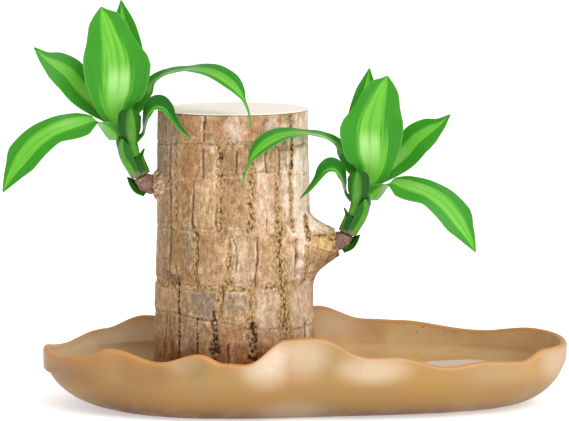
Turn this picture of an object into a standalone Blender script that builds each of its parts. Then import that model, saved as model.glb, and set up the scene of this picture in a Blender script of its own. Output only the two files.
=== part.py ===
"""Potted brazilian wood: a sprouting log that stands in a wavy stoneware tray of water.

Sizes are in millimetres and degrees, and become metres where a mesh is made.
+X is right and -Y is front. The origin is the centre of the tray's flat foot.
"""

from dataclasses import dataclass
from math import atan2, cos, degrees, hypot, pi, radians, sin

import bmesh
import bpy
import numpy as np

MM = 0.001
GAP = 0.3  # clearance between pieces that touch

# Tray
DISH_HALF_LENGTH = 172.3
DISH_HALF_DEPTH = 83.0
DISH_TAPER = 0.10  # the tray is this much shallower than its mean at the right end
RIM_POWER = 2.35  # superellipse exponent of the rim seen from above
FOOT_HALF_LENGTH = 115.0
FOOT_HALF_DEPTH = 48.5
FOOT_TAPER = 0.386
FOOT_POWER = 3.0
FOOT_SHIFT = 7.0  # the foot's middle lies this far to the right of the rim's
WALL_POWER = 2.25  # superellipse exponent of the wall's belly
WALL_THICKNESS = 5.0
FLOOR_THICKNESS = 7.0
FLOOR_EDGE = 9.0  # the inner floor reaches this much further out than the foot
LIP_DROP = 2.6  # height of the rounded lip
# The lip's section: parts of its drop and of the wall's thickness, outer side first
LIP_PROFILE = ((1.0, 0.0), (0.3, 0.2), (0.0, 0.5), (0.3, 0.8), (1.0, 1.0))
FLUTE_DEPTH = 2.2  # the wall swells out this much below a crest of FLUTE_CREST over the mean rim
FLUTE_CREST = 10.0
DISH_COLUMNS = 88
OUTER_LEVELS = (0.05, 0.17, 0.36, 0.62)  # rows of the outer wall, as parts of its height

# Crests and troughs of the rim: direction seen from above, height over the foot's plane
RIM_WAVE = (
    (14.0, 44.0), (27.0, 39.5), (48.0, 44.0), (62.0, 44.5), (84.0, 52.8), (106.0, 42.0),
    (124.0, 46.5), (135.0, 43.0), (146.5, 47.6), (156.0, 40.5), (168.0, 34.6), (183.0, 39.6),
    (192.0, 37.8), (201.0, 39.6), (208.5, 47.0), (219.0, 39.6), (230.0, 45.4), (242.5, 39.0),
    (270.0, 56.4), (298.0, 42.9), (307.0, 42.9), (324.0, 35.4), (332.0, 37.6), (341.0, 35.8),
    (346.5, 42.2), (355.0, 42.0),
)
RIM_MEAN = 43.0

# Water
WATER_LEVEL = 29.0
WATER_LEVELS = 3  # rows of the tray's inner wall below the water's surface
WATER_CLEARANCE = 0.8
WATER_CELLAR = 1.0  # the water's lowest ring stands this much further in

# Log
LOG_X = -47.0
LOG_TOP_RADIUS = 48.6
LOG_FOOT_RADIUS = 51.2
LOG_TOP = 193.6
LOG_COLUMNS = 72
LOG_ROWS = 35
FISSURE_DEPTH = 1.3
FISSURE_HALF_WIDTH = 4.0
RING_DEPTH = 0.9
RING_HALF_HEIGHT = 3.6
LUMP_DEPTH = 0.7
LUMPS_ROUND = 3  # broad swellings round the log
LUMP_TWIST = 1.2  # degrees that the swellings turn for each millimetre of height
LUMP_PERIOD = 185.0
LUMP_PHASE = 1.0  # phase of the swellings at the foot, in radians
SIDE_SWELL = 2.3  # the log is this much fuller on its right side, under the stub
SIDE_SWELL_TOP = 104.0
SIDE_SWELL_RUN = 26.0
FOOT_SWELL = 0.9
FOOT_SWELL_TOP = 70.0
FOOT_SWELL_RUN = 60.0

# Fissures in the bark: direction round the log, lowest and highest point
FISSURES = (
    (214.0, 7.0, 155.0), (238.0, 8.0, 150.0), (253.0, 7.0, 72.0), (258.0, 95.0, 160.0),
    (286.0, 7.0, 168.0), (311.0, 20.0, 172.0), (330.0, 90.0, 190.0), (349.0, 7.0, 70.0),
    (12.0, 50.0, 180.0), (34.0, 7.0, 120.0), (60.0, 20.0, 185.0), (84.0, 7.0, 100.0),
    (103.0, 60.0, 190.0), (128.0, 7.0, 150.0), (150.0, 30.0, 180.0), (176.0, 7.0, 110.0),
)
# Leaf scars that ring the log: mean height, rise to their highest point and its direction
BARK_RINGS = (
    (174.5, 1.5, 260.0), (149.5, 7.0, 290.0), (115.0, 6.0, 235.0), (86.0, 4.5, 20.0),
    (60.0, 5.5, 195.0),
)

# Wax on the cut top
WAX_THICKNESS = 1.1
WAX_INSET = 0.9
# The coat's rounded edge: parts of its thickness, and how far each ring stands in
WAX_EDGE = ((0.0, 0.3), (0.6, 0.0), (1.0, 0.7))

# Sprouts
BLADE_THICKNESS = 0.8
NARROWEST = 0.35  # half width of a blade's tip
FLATTEST = 0.02  # smallest hollow of a blade, in radians
SHEATH_MARKS = (0.0, 0.34, 0.67, 1.0)  # parts of a sheath's length that have a station
WAVE_SHIFT = 1.2  # the waves of one margin run this much ahead of the other's, in radians
WAVE_START = 1.0 / 3.0  # part of a leaf's length where its waves set in
WAVE_RUN = 1.0 / 3.0  # they grow to their full height over this part of the length
WAVE_END_RUN = 0.2  # and fade out over this last part
TIP_HOLLOW = 0.5  # a blade's hollow at its tip, as a part of its cup
SEAT_GAP = 0.5  # clearance between a stub's end face and the collar
COLLAR_RADIUS = 7.2
COLLAR_TOP_RADIUS = 6.2
COLLAR_TURN = 68.0
COLLAR_HINGE = 7.6  # distance of the collar's bend centre from its axis
COLLAR_RINGS = 7
COLLAR_SIDES = 16
SCALE_DEPTH = 0.5
STEM_SIDES = 12
STEM_RINGS = 10
STEM_TIP = 0.6  # the stem's last ring is rounded to this part of its radius

# Edges that are sharper than this stay sharp where the surface is shaded smooth
SHARP_WARE = 40.0
SHARP_BARK = 50.0
SHARP_LEAF = 60.0

# The stem's axis: outward and upward from the middle of the collar's seat, with the stem's radius
STEM_AXIS = (
    (7.0, 4.8, 4.9), (9.0, 9.8, 4.6), (11.3, 15.2, 4.2), (14.0, 22.0, 3.6), (16.5, 28.7, 3.0),
    (18.6, 35.4, 2.4), (20.4, 43.0, 1.6),
)


@dataclass(frozen=True)
class Stub:
    """A cut branch on the log, with a flat end that faces left or right."""

    side: int  # -1 left, 1 right
    reach: float  # distance of the end face from the log's axis
    front: float  # distance of the stub's axis in front of the log's axis
    height: float
    radius: float
    flare_up: float
    flare_down: float
    flare_side: float


LEFT_STUB = Stub(-1, 51.6, 12.0, 146.3, 8.0, 4.0, 9.0, 6.0)
RIGHT_STUB = Stub(1, 66.4, 13.0, 109.2, 8.8, 13.0, 27.0, 13.0)


@dataclass(frozen=True)
class Leaf:
    """One leaf of a sprout: a sheath that clasps the stem, then a free blade.

    path holds points of the blade's midrib: outward, frontward, upward, half width, and the
    turn of its upper side toward the front. Its origin is the centre of the collar's seat.
    trim holds the cuts and bulges of the outline: part of the leaf's length, and the width that
    each of its two margins gains there.
    """

    name: str
    root: float  # height of the sheath's foot along the stem
    sheath: float  # length of the sheath, 0 where the leaf has none
    azimuth: float  # direction of the midrib: 0 outward, 90 front, 180 toward the log
    clasp: float  # half angle of the sheath round the stem
    radius: float  # radius of the sheath's middle surface at its foot
    lift: float  # radius that the sheath gains for each millimetre of its length
    path: tuple
    cup: float  # half angle of the blade's hollow
    inward: bool  # the blade leans over the log
    wave: float  # height of the margin's waves
    waves: float  # number of waves along the blade
    rows: int
    columns: int
    trim: tuple = ((0.0, 0.0, 0.0),)


LEAVES = (
    Leaf("bract", 0.0, 0.0, 0.0, 0.0, 0.0, 0.0,
         ((5.3, 0.0, -7.0, 5.4, 0.0), (10.7, 0.0, -3.1, 5.2, 0.0), (14.0, 0.0, 1.1, 3.6, 0.0),
          (16.6, 0.0, 4.6, 0.4, 0.0)),
         40.0, False, 0.0, 0.0, 7, 4),
    Leaf("sheath_inner", 1.2, 9.6, 150.0, 53.0, 5.8, 0.0,
         ((6.6, 2.8, 19.4, 3.4, -20.0), (5.4, 3.6, 23.6, 0.4, -20.0)),
         44.0, True, 0.0, 0.0, 8, 6),
    Leaf("sheath_front", 1.2, 12.8, 40.0, 54.0, 6.4, 0.14,
         ((19.8, 6.0, 21.0, 7.4, -44.0), (20.2, 7.8, 25.2, 6.6, -54.0), (19.6, 9.0, 28.6, 4.2, -62.0),
          (18.8, 9.6, 30.4, 0.6, -66.0)),
         60.0, False, 0.0, 0.0, 10, 6),
    Leaf("sheath_upper", 14.0, 7.0, 100.0, 46.0, 5.6, 0.12,
         ((14.2, 8.0, 29.6, 6.2, -96.0), (14.6, 9.4, 37.4, 8.2, -92.0), (14.4, 10.6, 43.9, 8.0, -90.0),
          (13.8, 12.2, 48.0, 5.4, -90.0), (13.4, 13.4, 50.2, 1.0, -90.0)),
         56.0, False, 0.0, 0.0, 12, 6),
    Leaf("leaf_droop", 11.0, 15.0, -20.0, 34.0, 4.9, 0.09,
         ((25.2, -2.8, 31.0, 6.8, -44.0), (30.8, 1.0, 37.4, 6.6, -32.0), (37.6, 5.6, 41.8, 6.6, 8.0),
          (45.2, 11.0, 41.4, 7.4, 44.0), (52.0, 15.0, 39.9, 8.0, 58.0),
          (61.2, 18.0, 37.0, 9.2, 62.0), (72.9, 21.0, 29.8, 11.0, 64.0), (82.2, 23.0, 19.4, 11.4, 66.0),
          (89.8, 24.0, 8.2, 7.0, 66.0), (95.2, 24.5, -2.5, 0.5, 66.0)),
         22.0, False, 0.8, 2.5, 22, 6,
         ((0.0, 0.0, 0.0), (0.33, 0.0, 0.0), (0.38, 3.5, 0.0), (0.42, 7.0, 0.0), (0.46, 5.6, 0.0),
          (0.51, 3.0, 0.0), (0.57, 0.5, 0.0), (0.78, 0.0, 0.0), (0.86, 0.0, -2.0),
          (0.93, 0.0, -1.5), (1.0, 0.0, 0.0))),
    Leaf("leaf_curl", 16.0, 6.0, 206.0, 40.0, 4.5, 0.16,
         ((6.2, -2.6, 31.5, 4.0, 10.0), (4.4, 0.6, 39.6, 4.8, 20.0), (2.0, 8.0, 48.2, 6.2, 35.0),
          (-4.0, 17.0, 53.0, 7.2, 45.0), (-9.6, 24.0, 51.2, 5.4, 45.0), (-13.6, 29.0, 46.0, 3.2, 45.0),
          (-18.6, 33.0, 39.8, 2.0, 45.0), (-25.5, 36.0, 33.0, 0.4, 45.0)),
         30.0, True, 0.4, 1.5, 14, 4),
    Leaf("leaf_side", 21.0, 6.0, -42.0, 38.0, 4.1, 0.18,
         ((23.0, -8.4, 36.6, 4.8, 32.0), (28.6, -12.4, 42.2, 6.8, 44.0), (37.2, -15.8, 49.4, 9.0, 54.0),
          (48.8, -16.8, 61.3, 11.8, 60.0), (55.3, -17.0, 69.8, 12.2, 62.0),
          (62.9, -17.0, 76.0, 10.2, 62.0), (70.6, -17.0, 80.9, 5.0, 60.0), (77.5, -17.0, 87.7, 0.5, 60.0)),
         16.0, False, 0.9, 2.0, 14, 6),
    Leaf("leaf_arch", 21.0, 6.0, 220.0, 40.0, 4.1, 0.18,
         ((12.2, -9.0, 43.6, 3.6, 45.0), (8.8, -11.2, 51.2, 5.2, 60.0), (5.2, -12.6, 58.9, 6.0, 58.0),
          (0.4, -12.0, 65.0, 6.0, 34.0), (-7.3, -4.0, 70.6, 6.8, 12.0), (-18.8, 12.0, 74.6, 7.0, 5.0),
          (-30.5, 30.0, 76.8, 7.4, 15.0), (-41.5, 40.0, 75.4, 8.0, 30.0), (-50.4, 46.0, 70.6, 7.8, 40.0),
          (-57.0, 50.0, 63.8, 4.8, 42.0), (-60.4, 51.8, 57.8, 1.4, 40.0), (-63.2, 53.5, 50.4, 0.8, 35.0),
          (-64.4, 54.0, 42.5, 0.4, 35.0)),
         20.0, True, 0.2, 2.0, 20, 4),
    Leaf("leaf_back", 26.0, 5.0, 272.0, 30.0, 3.9, 0.14,
         ((18.6, -7.0, 38.6, 2.4, 90.0), (18.9, -11.6, 46.0, 2.8, 90.0), (19.2, -19.0, 57.0, 7.4, 90.0),
          (18.4, -24.0, 68.0, 11.0, 90.0), (18.4, -25.0, 80.0, 12.0, 90.0), (19.3, -25.0, 99.8, 8.4, 90.0),
          (21.1, -24.0, 118.2, 0.5, 90.0)),
         16.0, False, 0.5, 2.0, 12, 4),
    Leaf("leaf_front", 31.0, 5.0, 268.0, 54.0, 3.35, 0.12,
         ((22.6, -4.0, 44.0, 8.8, 90.0), (24.4, -2.8, 51.4, 13.2, 90.0), (23.4, -1.8, 63.4, 19.8, 90.0),
          (23.0, -0.8, 76.5, 21.6, 90.0), (24.1, 0.2, 88.3, 19.4, 90.0), (27.0, 0.8, 98.7, 13.8, 90.0),
          (29.7, 1.0, 107.7, 8.8, 90.0), (32.9, 1.0, 115.0, 0.6, 90.0)),
         16.0, False, 1.6, 2.2, 20, 8,
         ((0.0, 0.0, 0.0), (0.415, 0.0, 0.0), (0.54, 0.0, 0.8), (0.6, 0.6, -0.4),
          (0.66, 1.2, -3.7), (0.7, 1.6, -4.3), (0.735, 1.9, -3.6), (0.8, 2.0, -1.0),
          (0.86, 2.2, 0.0), (0.92, 2.8, 0.0), (0.96, 2.4, -0.9), (1.0, 0.0, 0.0))),
)


@dataclass(frozen=True)
class Sprout:
    """Where a sprout stands: its stub, its size and its lean away from the log."""

    name: str
    stub: Stub
    size: float
    lean: float


SPROUTS = (
    Sprout("left", LEFT_STUB, 1.0, 0.0),
    Sprout("right", RIGHT_STUB, 0.942, 1.2),
)


def make_material(name, colour, roughness, transmission=0.0):
    """Return a Principled material."""
    material = bpy.data.materials.new(name)
    material.use_nodes = True
    shader = material.node_tree.nodes["Principled BSDF"]
    shader.inputs["Base Color"].default_value = (*colour, 1.0)
    shader.inputs["Roughness"].default_value = roughness
    shader.inputs["Metallic"].default_value = 0.0
    shader.inputs["Transmission Weight"].default_value = transmission
    material.diffuse_color = (*colour, 1.0)
    return material


def add_object(name, points, faces, material, sharp=SHARP_WARE):
    """Make a named object from points in millimetres and faces."""
    mesh = bpy.data.meshes.new(name)
    mesh.from_pydata([tuple(MM * c for c in p) for p in points], [], faces)
    mesh.validate()
    mesh.materials.append(material)
    mesh.shade_smooth()
    mesh.set_sharp_from_angle(angle=radians(sharp))
    obj = bpy.data.objects.new(name, mesh)
    bpy.context.collection.objects.link(obj)
    return obj


def loft(rings):
    """Join equal rings with quads and close both ends with a flat face."""
    count = len(rings[0])
    points = [p for ring in rings for p in ring]
    faces = []
    for row in range(len(rings) - 1):
        low, high = row * count, (row + 1) * count
        for i in range(count):
            j = (i + 1) % count
            faces.append((low + i, low + j, high + j, high + i))
    faces.append(tuple(reversed(range(count))))
    faces.append(tuple(range(len(points) - count, len(points))))
    return points, faces


def point_outward(obj):
    """Turn the faces of a closed object outward."""
    mesh = bmesh.new()
    mesh.from_mesh(obj.data)
    bmesh.ops.recalc_face_normals(mesh, faces=mesh.faces[:])
    if mesh.calc_volume(signed=True) < 0.0:
        bmesh.ops.reverse_faces(mesh, faces=mesh.faces[:])
    mesh.to_mesh(obj.data)
    mesh.free()


def ease(part):
    """Go from 0 to 1 with level ends."""
    part = min(max(part, 0.0), 1.0)
    return 0.5 - 0.5 * cos(pi * part)


def angle_between(a, b):
    """Return the signed turn from b to a, in degrees."""
    return (a - b + 180.0) % 360.0 - 180.0


def rim_height(angle):
    """Height of the rim in a direction, eased from crest to trough."""
    angle %= 360.0
    knots = list(RIM_WAVE)
    first, last = knots[0], knots[-1]
    knots = [(last[0] - 360.0, last[1])] + knots + [(first[0] + 360.0, first[1])]
    for (a0, h0), (a1, h1) in zip(knots, knots[1:]):
        if a0 <= angle <= a1:
            return h0 + (h1 - h0) * ease((angle - a0) / (a1 - a0))
    return RIM_MEAN


def plan_point(turn, half_length, half_depth, taper, power):
    """Point of a superellipse that narrows toward +X."""
    c, s = cos(turn), sin(turn)
    power = 2.0 / power
    x = half_length * abs(c) ** power * (1 if c >= 0 else -1)
    depth = half_depth * (1.0 - taper * x / half_length)
    return x, depth * abs(s) ** power * (1 if s >= 0 else -1)


def rim_point(turn):
    """Point of the rim's outline seen from above."""
    return plan_point(turn, DISH_HALF_LENGTH, DISH_HALF_DEPTH, DISH_TAPER, RIM_POWER)


def foot_point(turn, edge):
    """Point of the foot's outline, or of one edge millimetres outside it."""
    x, y = plan_point(turn, FOOT_HALF_LENGTH, FOOT_HALF_DEPTH, FOOT_TAPER, FOOT_POWER)
    x, y = inset((x, y), -edge)
    return x + FOOT_SHIFT, y


def inset(point, distance):
    """Move a plan point toward the centre."""
    length = hypot(*point)
    return tuple(c * (1.0 - distance / length) for c in point)


def wall_point(turn, height, shell):
    """Point of the tray's wall at a height, shell millimetres in from its outer side."""
    rim, top = rim_point(turn), rim_top(turn)
    base = FLOOR_THICKNESS if shell > 0.0 else 0.0
    foot = foot_point(turn, FLOOR_EDGE if shell > 0.0 else 0.0)
    part = min(max((height - base) / (top - base), 0.0), 1.0)
    spread = (1.0 - (1.0 - part) ** WALL_POWER) ** (1.0 / WALL_POWER)
    flute = FLUTE_DEPTH * (top - RIM_MEAN) / FLUTE_CREST * part ** 2
    out = [f + (r - f) * spread for f, r in zip(foot, rim)]
    return (*inset(out, shell - flute), height)


def dish_turns():
    """Turns of the tray's columns."""
    return [2.0 * pi * i / DISH_COLUMNS for i in range(DISH_COLUMNS)]


def rim_top(turn):
    """Height of the rim at a column."""
    x, y = rim_point(turn)
    return rim_height(degrees(atan2(y, x)))


def water_rows():
    """Heights of the wall's rows from the floor to the water's surface."""
    rise = WATER_LEVEL - FLOOR_THICKNESS
    return [FLOOR_THICKNESS + rise * (i / WATER_LEVELS) ** 2 for i in range(WATER_LEVELS + 1)]


def build_dish(material):
    """Tray: outer wall from the foot up, rounded lip, inner wall down to the floor."""
    turns = dish_turns()
    rings = [[wall_point(t, 0.0, 0.0) for t in turns]]
    for level in OUTER_LEVELS:
        rings.append([wall_point(t, level * rim_top(t), 0.0) for t in turns])
    for drop, inward in LIP_PROFILE:
        rings.append([lip_point(t, drop * LIP_DROP, inward * WALL_THICKNESS) for t in turns])
    rings.append([wall_point(t, 0.5 * (WATER_LEVEL + rim_top(t) - LIP_DROP), WALL_THICKNESS)
                  for t in turns])
    for height in reversed(water_rows()):
        rings.append([wall_point(t, height, WALL_THICKNESS) for t in turns])
    dish = add_object("dish", *loft(rings), material)
    point_outward(dish)


def lip_point(turn, drop, shell):
    """Point of the rounded lip, drop millimetres under the rim's top."""
    top = rim_top(turn)
    x, y, _ = wall_point(turn, top - LIP_DROP, 0.0)
    return (*inset((x, y), shell), top - drop)


def log_radius(height):
    """Radius of the log without its bark relief."""
    part = (height - FLOOR_THICKNESS) / (LOG_TOP - FLOOR_THICKNESS)
    return LOG_FOOT_RADIUS + (LOG_TOP_RADIUS - LOG_FOOT_RADIUS) * part


def bark_relief(angle, height):
    """Height of the bark over the log's mean radius."""
    relief = LUMP_DEPTH * sin(radians(LUMPS_ROUND * angle + LUMP_TWIST * height))
    relief *= cos(2.0 * pi * height / LUMP_PERIOD + LUMP_PHASE)
    for direction, low, high in FISSURES:
        across = abs(angle_between(angle, direction)) * radians(LOG_FOOT_RADIUS)
        along = min(height - low, high - height) / FISSURE_HALF_WIDTH
        relief -= FISSURE_DEPTH * ease(1.0 - across / FISSURE_HALF_WIDTH) * ease(along)
    for ring, rise, direction in BARK_RINGS:
        away = abs(height - ring - rise * cos(radians(angle - direction)))
        relief -= RING_DEPTH * ease(1.0 - away / RING_HALF_HEIGHT)
    return relief


def swell(angle, height):
    """How much fuller the log is at its right side and at its foot."""
    side = SIDE_SWELL * max(cos(radians(angle)), 0.0)
    side *= ease((SIDE_SWELL_TOP - height) / SIDE_SWELL_RUN)
    return side + FOOT_SWELL * ease((FOOT_SWELL_TOP - height) / FOOT_SWELL_RUN)


def stub_part(stub, radius, angle, height):
    """How far the log's surface has risen to a stub's end face: 0 none, 1 all of it."""
    across = radius * sin(radians(angle)) + stub.front
    if cos(radians(angle)) * stub.side <= 0.0:
        return 0.0
    up = height - stub.height
    away = hypot(across, up)
    if away <= stub.radius:
        return 1.0
    vertical = stub.flare_up if up > 0.0 else stub.flare_down
    share = up * up / (away * away)
    flare = vertical * share + stub.flare_side * (1.0 - share)
    return max(0.0, 1.0 - (away - stub.radius) / flare) ** 2


def log_angles():
    """Directions of the log's columns."""
    return [360.0 * i / LOG_COLUMNS for i in range(LOG_COLUMNS)]


def log_point(angle, height):
    """Point of the log's surface."""
    radius = log_radius(height)
    parts = [stub_part(stub, radius, angle, height) for stub in (LEFT_STUB, RIGHT_STUB)]
    radius += (bark_relief(angle, height) + swell(angle, height)) * (1.0 - max(parts))
    for stub, part in zip((LEFT_STUB, RIGHT_STUB), parts):
        if part > 0.0:
            radius += (stub.reach / abs(cos(radians(angle))) - radius) * part
    return LOG_X + radius * cos(radians(angle)), radius * sin(radians(angle)), height


def build_log(material):
    """Log: one closed body with its bark relief, branch stub and knob."""
    low, high = FLOOR_THICKNESS + GAP, LOG_TOP
    heights = [low + (high - low) * i / (LOG_ROWS - 1) for i in range(LOG_ROWS)]
    rings = [[log_point(a, h) for a in log_angles()] for h in heights]
    point_outward(add_object("trunk", *loft(rings), material, SHARP_BARK))


def build_wax(material):
    """Thin wax coat that follows the cut top's outline."""
    rings = []
    for rise, step in WAX_EDGE:
        ring = []
        for angle in log_angles():
            x, y, _ = log_point(angle, LOG_TOP)
            x, y = inset((x - LOG_X, y), WAX_INSET + step)
            ring.append((x + LOG_X, y, LOG_TOP + GAP + rise * WAX_THICKNESS))
        rings.append(ring)
    point_outward(add_object("wax_seal", *loft(rings), material))


def build_water(material):
    """Water: the tray's filling, with a plain hole for the log."""
    turns = dish_turns()
    shell = WALL_THICKNESS + WATER_CLEARANCE
    rings = []
    for row, height in enumerate(water_rows()):
        step = WATER_CELLAR if row == 0 else 0.0
        lift = GAP if row == 0 else 0.0
        points = [wall_point(t, height, shell + step) for t in turns]
        rings.append([(x, y, height + lift) for x, y, _ in points])
    water = add_object("water", *loft(rings), material)
    point_outward(water)
    cut = water.modifiers.new("log_hole", "BOOLEAN")
    cut.operation = "DIFFERENCE"
    cut.solver = "EXACT"
    cut.object = build_hole_cutter()


def build_hole_cutter():
    """Straight cutter that clears the log between the tray's floor and the water's surface."""
    outline = []
    for angle in log_angles():
        widest = max(log_radius(h) + swell(angle, h) for h in (FLOOR_THICKNESS, WATER_LEVEL))
        bore = widest + LUMP_DEPTH + GAP
        outline.append((LOG_X + bore * cos(radians(angle)), bore * sin(radians(angle))))
    rings = [[(x, y, height) for x, y in outline] for height in (0.0, 2.0 * WATER_LEVEL)]
    cutter = add_object("log_hole_cutter", *loft(rings), bpy.data.materials["water"])
    point_outward(cutter)
    cutter.hide_render = True
    cutter.display_type = "WIRE"
    return cutter


def sprout_point(sprout, out, front, up):
    """Turn a sprout's own coordinates into the part's."""
    lean = radians(sprout.lean)
    out, up = out * cos(lean) + up * sin(lean), up * cos(lean) - out * sin(lean)
    stub, size = sprout.stub, sprout.size
    x = LOG_X + stub.side * (stub.reach + SEAT_GAP + size * out)
    return x, -stub.front - size * front, stub.height + size * up


def unit(vector):
    """Scale a vector to length 1."""
    return vector / np.linalg.norm(vector)


def even_slopes(rows, marks):
    """Slopes at the stations that never carry a curve past its own values."""
    steps = np.diff(rows, axis=0) / np.diff(marks)[:, None]
    slopes = np.zeros_like(rows)
    slopes[0], slopes[-1] = steps[0], steps[-1]
    before, after = steps[:-1], steps[1:]
    same = before * after > 0.0
    slopes[1:-1][same] = (2.0 * before * after)[same] / (before + after)[same]
    return slopes


def spline(stations, part):
    """Read a smooth curve through stations at a part of its length, with its direction.

    The first three columns are a place. The others keep within their stations' values.
    """
    rows = np.array(stations, dtype=float)
    steps = np.linalg.norm(np.diff(rows[:, :3], axis=0), axis=1)
    marks = np.concatenate(([0.0], np.cumsum(steps)))
    place = part * marks[-1]
    i = int(min(np.searchsorted(marks, place, side="right") - 1, len(rows) - 2))
    slopes = even_slopes(rows, marks)
    slopes[:, :3] = np.gradient(rows[:, :3], marks, axis=0)
    width = marks[i + 1] - marks[i]
    u = (place - marks[i]) / width
    value = ((2 * u**3 - 3 * u**2 + 1) * rows[i] + (u**3 - 2 * u**2 + u) * width * slopes[i]
             + (3 * u**2 - 2 * u**3) * rows[i + 1] + (u**3 - u**2) * width * slopes[i + 1])
    slope = ((6 * u**2 - 6 * u) * (rows[i] - rows[i + 1]) / width
             + (3 * u**2 - 4 * u + 1) * slopes[i] + (3 * u**2 - 2 * u) * slopes[i + 1])
    return value, slope


def stem_length():
    """Length of the stem's axis."""
    return sum(hypot(b[0] - a[0], b[1] - a[1]) for a, b in zip(STEM_AXIS, STEM_AXIS[1:]))


def stem_frame(height):
    """Centre, direction, outward normal and radius of the stem at a height along it."""
    stations = [(out, 0.0, up, radius) for out, up, radius in STEM_AXIS]
    value, slope = spline(stations, min(height / stem_length(), 1.0))
    along = unit(slope[:3])
    outward = np.array((along[2], 0.0, -along[0]))
    return value[:3], along, outward, value[3]


def sheath_stations(leaf):
    """Stations of the sheath: midrib, upper side's direction, half width and hollow."""
    stations = []
    if leaf.sheath == 0.0:
        return stations
    for part in SHEATH_MARKS:
        centre, _, outward, _ = stem_frame(leaf.root + part * leaf.sheath)
        bearing = radians(leaf.azimuth)
        radial = outward * cos(bearing) + np.array((0.0, 1.0, 0.0)) * sin(bearing)
        reach = leaf.radius + leaf.lift * part * leaf.sheath
        clasp = radians(leaf.clasp)
        stations.append((*(centre + reach * radial), *(-radial), reach * clasp, clasp))
    return stations


def blade_stations(leaf, sheath):
    """Stations of the free blade, which goes on from the sheath."""
    points = [np.array(s[:3]) for s in sheath] + [np.array(p[:3]) for p in leaf.path]
    start = len(sheath)
    stations = []
    for i, (out, front, up, half_width, turn) in enumerate(leaf.path):
        here = start + i
        ahead = points[min(here + 1, len(points) - 1)]
        along = unit(ahead - points[max(here - 1, 0)])
        side = -1.0 if leaf.inward else 1.0
        over = side * np.array((-along[2], 0.0, along[0]))
        face = over * cos(radians(turn)) + np.array((0.0, 1.0, 0.0)) * sin(radians(turn))
        part = (i + 1) / len(leaf.path)
        hollow = radians(leaf.cup * (1.0 + (TIP_HOLLOW - 1.0) * part))
        stations.append((out, front, up, *face, half_width, hollow))
    return stations


def margin_gain(leaf, part, side):
    """Width that a leaf's margin gains at a part of its length, on the side of u below or over 0."""
    places, low, high = zip(*leaf.trim)
    return float(np.interp(part, places, low if side < 0.0 else high))


def blade_rows(leaf):
    """Middle surface of a leaf as rows of points, from root to tip."""
    sheath = sheath_stations(leaf)
    stations = sheath + blade_stations(leaf, sheath)
    rows = []
    for i in range(leaf.rows + 1):
        part = i / leaf.rows
        value, slope = spline(stations, part)
        along = unit(slope[:3])
        face = unit(value[3:6] - along * np.dot(value[3:6], along))
        across = np.cross(along, face)
        half_width, hollow = max(value[6], NARROWEST), max(value[7], FLATTEST)
        bend = half_width / hollow
        waving = ease((part - WAVE_START) / WAVE_RUN) * ease((1.0 - part) / WAVE_END_RUN)
        row = []
        for k in range(leaf.columns + 1):
            u = 2.0 * k / leaf.columns - 1.0
            shift = WAVE_SHIFT if u > 0.0 else 0.0
            ripple = leaf.wave * waving * u * u * sin(2.0 * pi * leaf.waves * part + shift)
            turn = hollow * u * (1.0 + margin_gain(leaf, part, u) * abs(u) / half_width)
            point = value[:3] + across * bend * sin(turn)
            row.append(point + face * (bend * (1.0 - cos(turn)) + ripple))
        rows.append(row)
    return np.array(rows)


def surface_normals(rows):
    """Unit normals of a grid of points."""
    along = np.gradient(rows, axis=0)
    across = np.gradient(rows, axis=1)
    normals = np.cross(across, along)
    return normals / np.linalg.norm(normals, axis=2, keepdims=True)


def solid_blade(rows):
    """Give a grid of points its thickness, split alike on both faces."""
    normals = surface_normals(rows)
    count, width = rows.shape[:2]
    upper = (rows + normals * 0.5 * BLADE_THICKNESS).reshape(-1, 3)
    lower = (rows - normals * 0.5 * BLADE_THICKNESS).reshape(-1, 3)
    points = list(upper) + list(lower)
    under = count * width
    faces = []
    for i in range(count - 1):
        for k in range(width - 1):
            a, b = i * width + k, i * width + k + 1
            c, d = a + width, b + width
            faces += [(a, b, d), (a, d, c)]
            faces += [(under + a, under + d, under + b), (under + a, under + c, under + d)]
    edge = [k for k in range(width)] + [i * width + width - 1 for i in range(1, count)]
    edge += [(count - 1) * width + k for k in range(width - 2, -1, -1)]
    edge += [i * width for i in range(count - 2, 0, -1)]
    for a, b in zip(edge, edge[1:] + edge[:1]):
        faces += [(a, under + b, b), (a, under + a, under + b)]
    return points, faces


def build_leaf(sprout, leaf, material):
    """One leaf of a sprout as a closed blade."""
    points, faces = solid_blade(blade_rows(leaf))
    points = [sprout_point(sprout, *p) for p in points]
    obj = add_object(f"{sprout.name}_{leaf.name}", points, faces, material, SHARP_LEAF)
    point_outward(obj)


def build_stem(sprout, material):
    """Green stem that tapers toward the tip."""
    rings = []
    for i in range(STEM_RINGS):
        part = i / (STEM_RINGS - 1)
        height = 2.0 * GAP + part * (stem_length() - 2.0 * GAP)
        centre, _, outward, radius = stem_frame(height)
        radius *= STEM_TIP if i == STEM_RINGS - 1 else 1.0
        ring = []
        for k in range(STEM_SIDES):
            turn = 2.0 * pi * k / STEM_SIDES
            around = outward * cos(turn) + np.array((0.0, 1.0, 0.0)) * sin(turn)
            ring.append(sprout_point(sprout, *(centre + radius * around)))
        rings.append(ring)
    point_outward(add_object(f"{sprout.name}_stem", *loft(rings), material))


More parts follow.
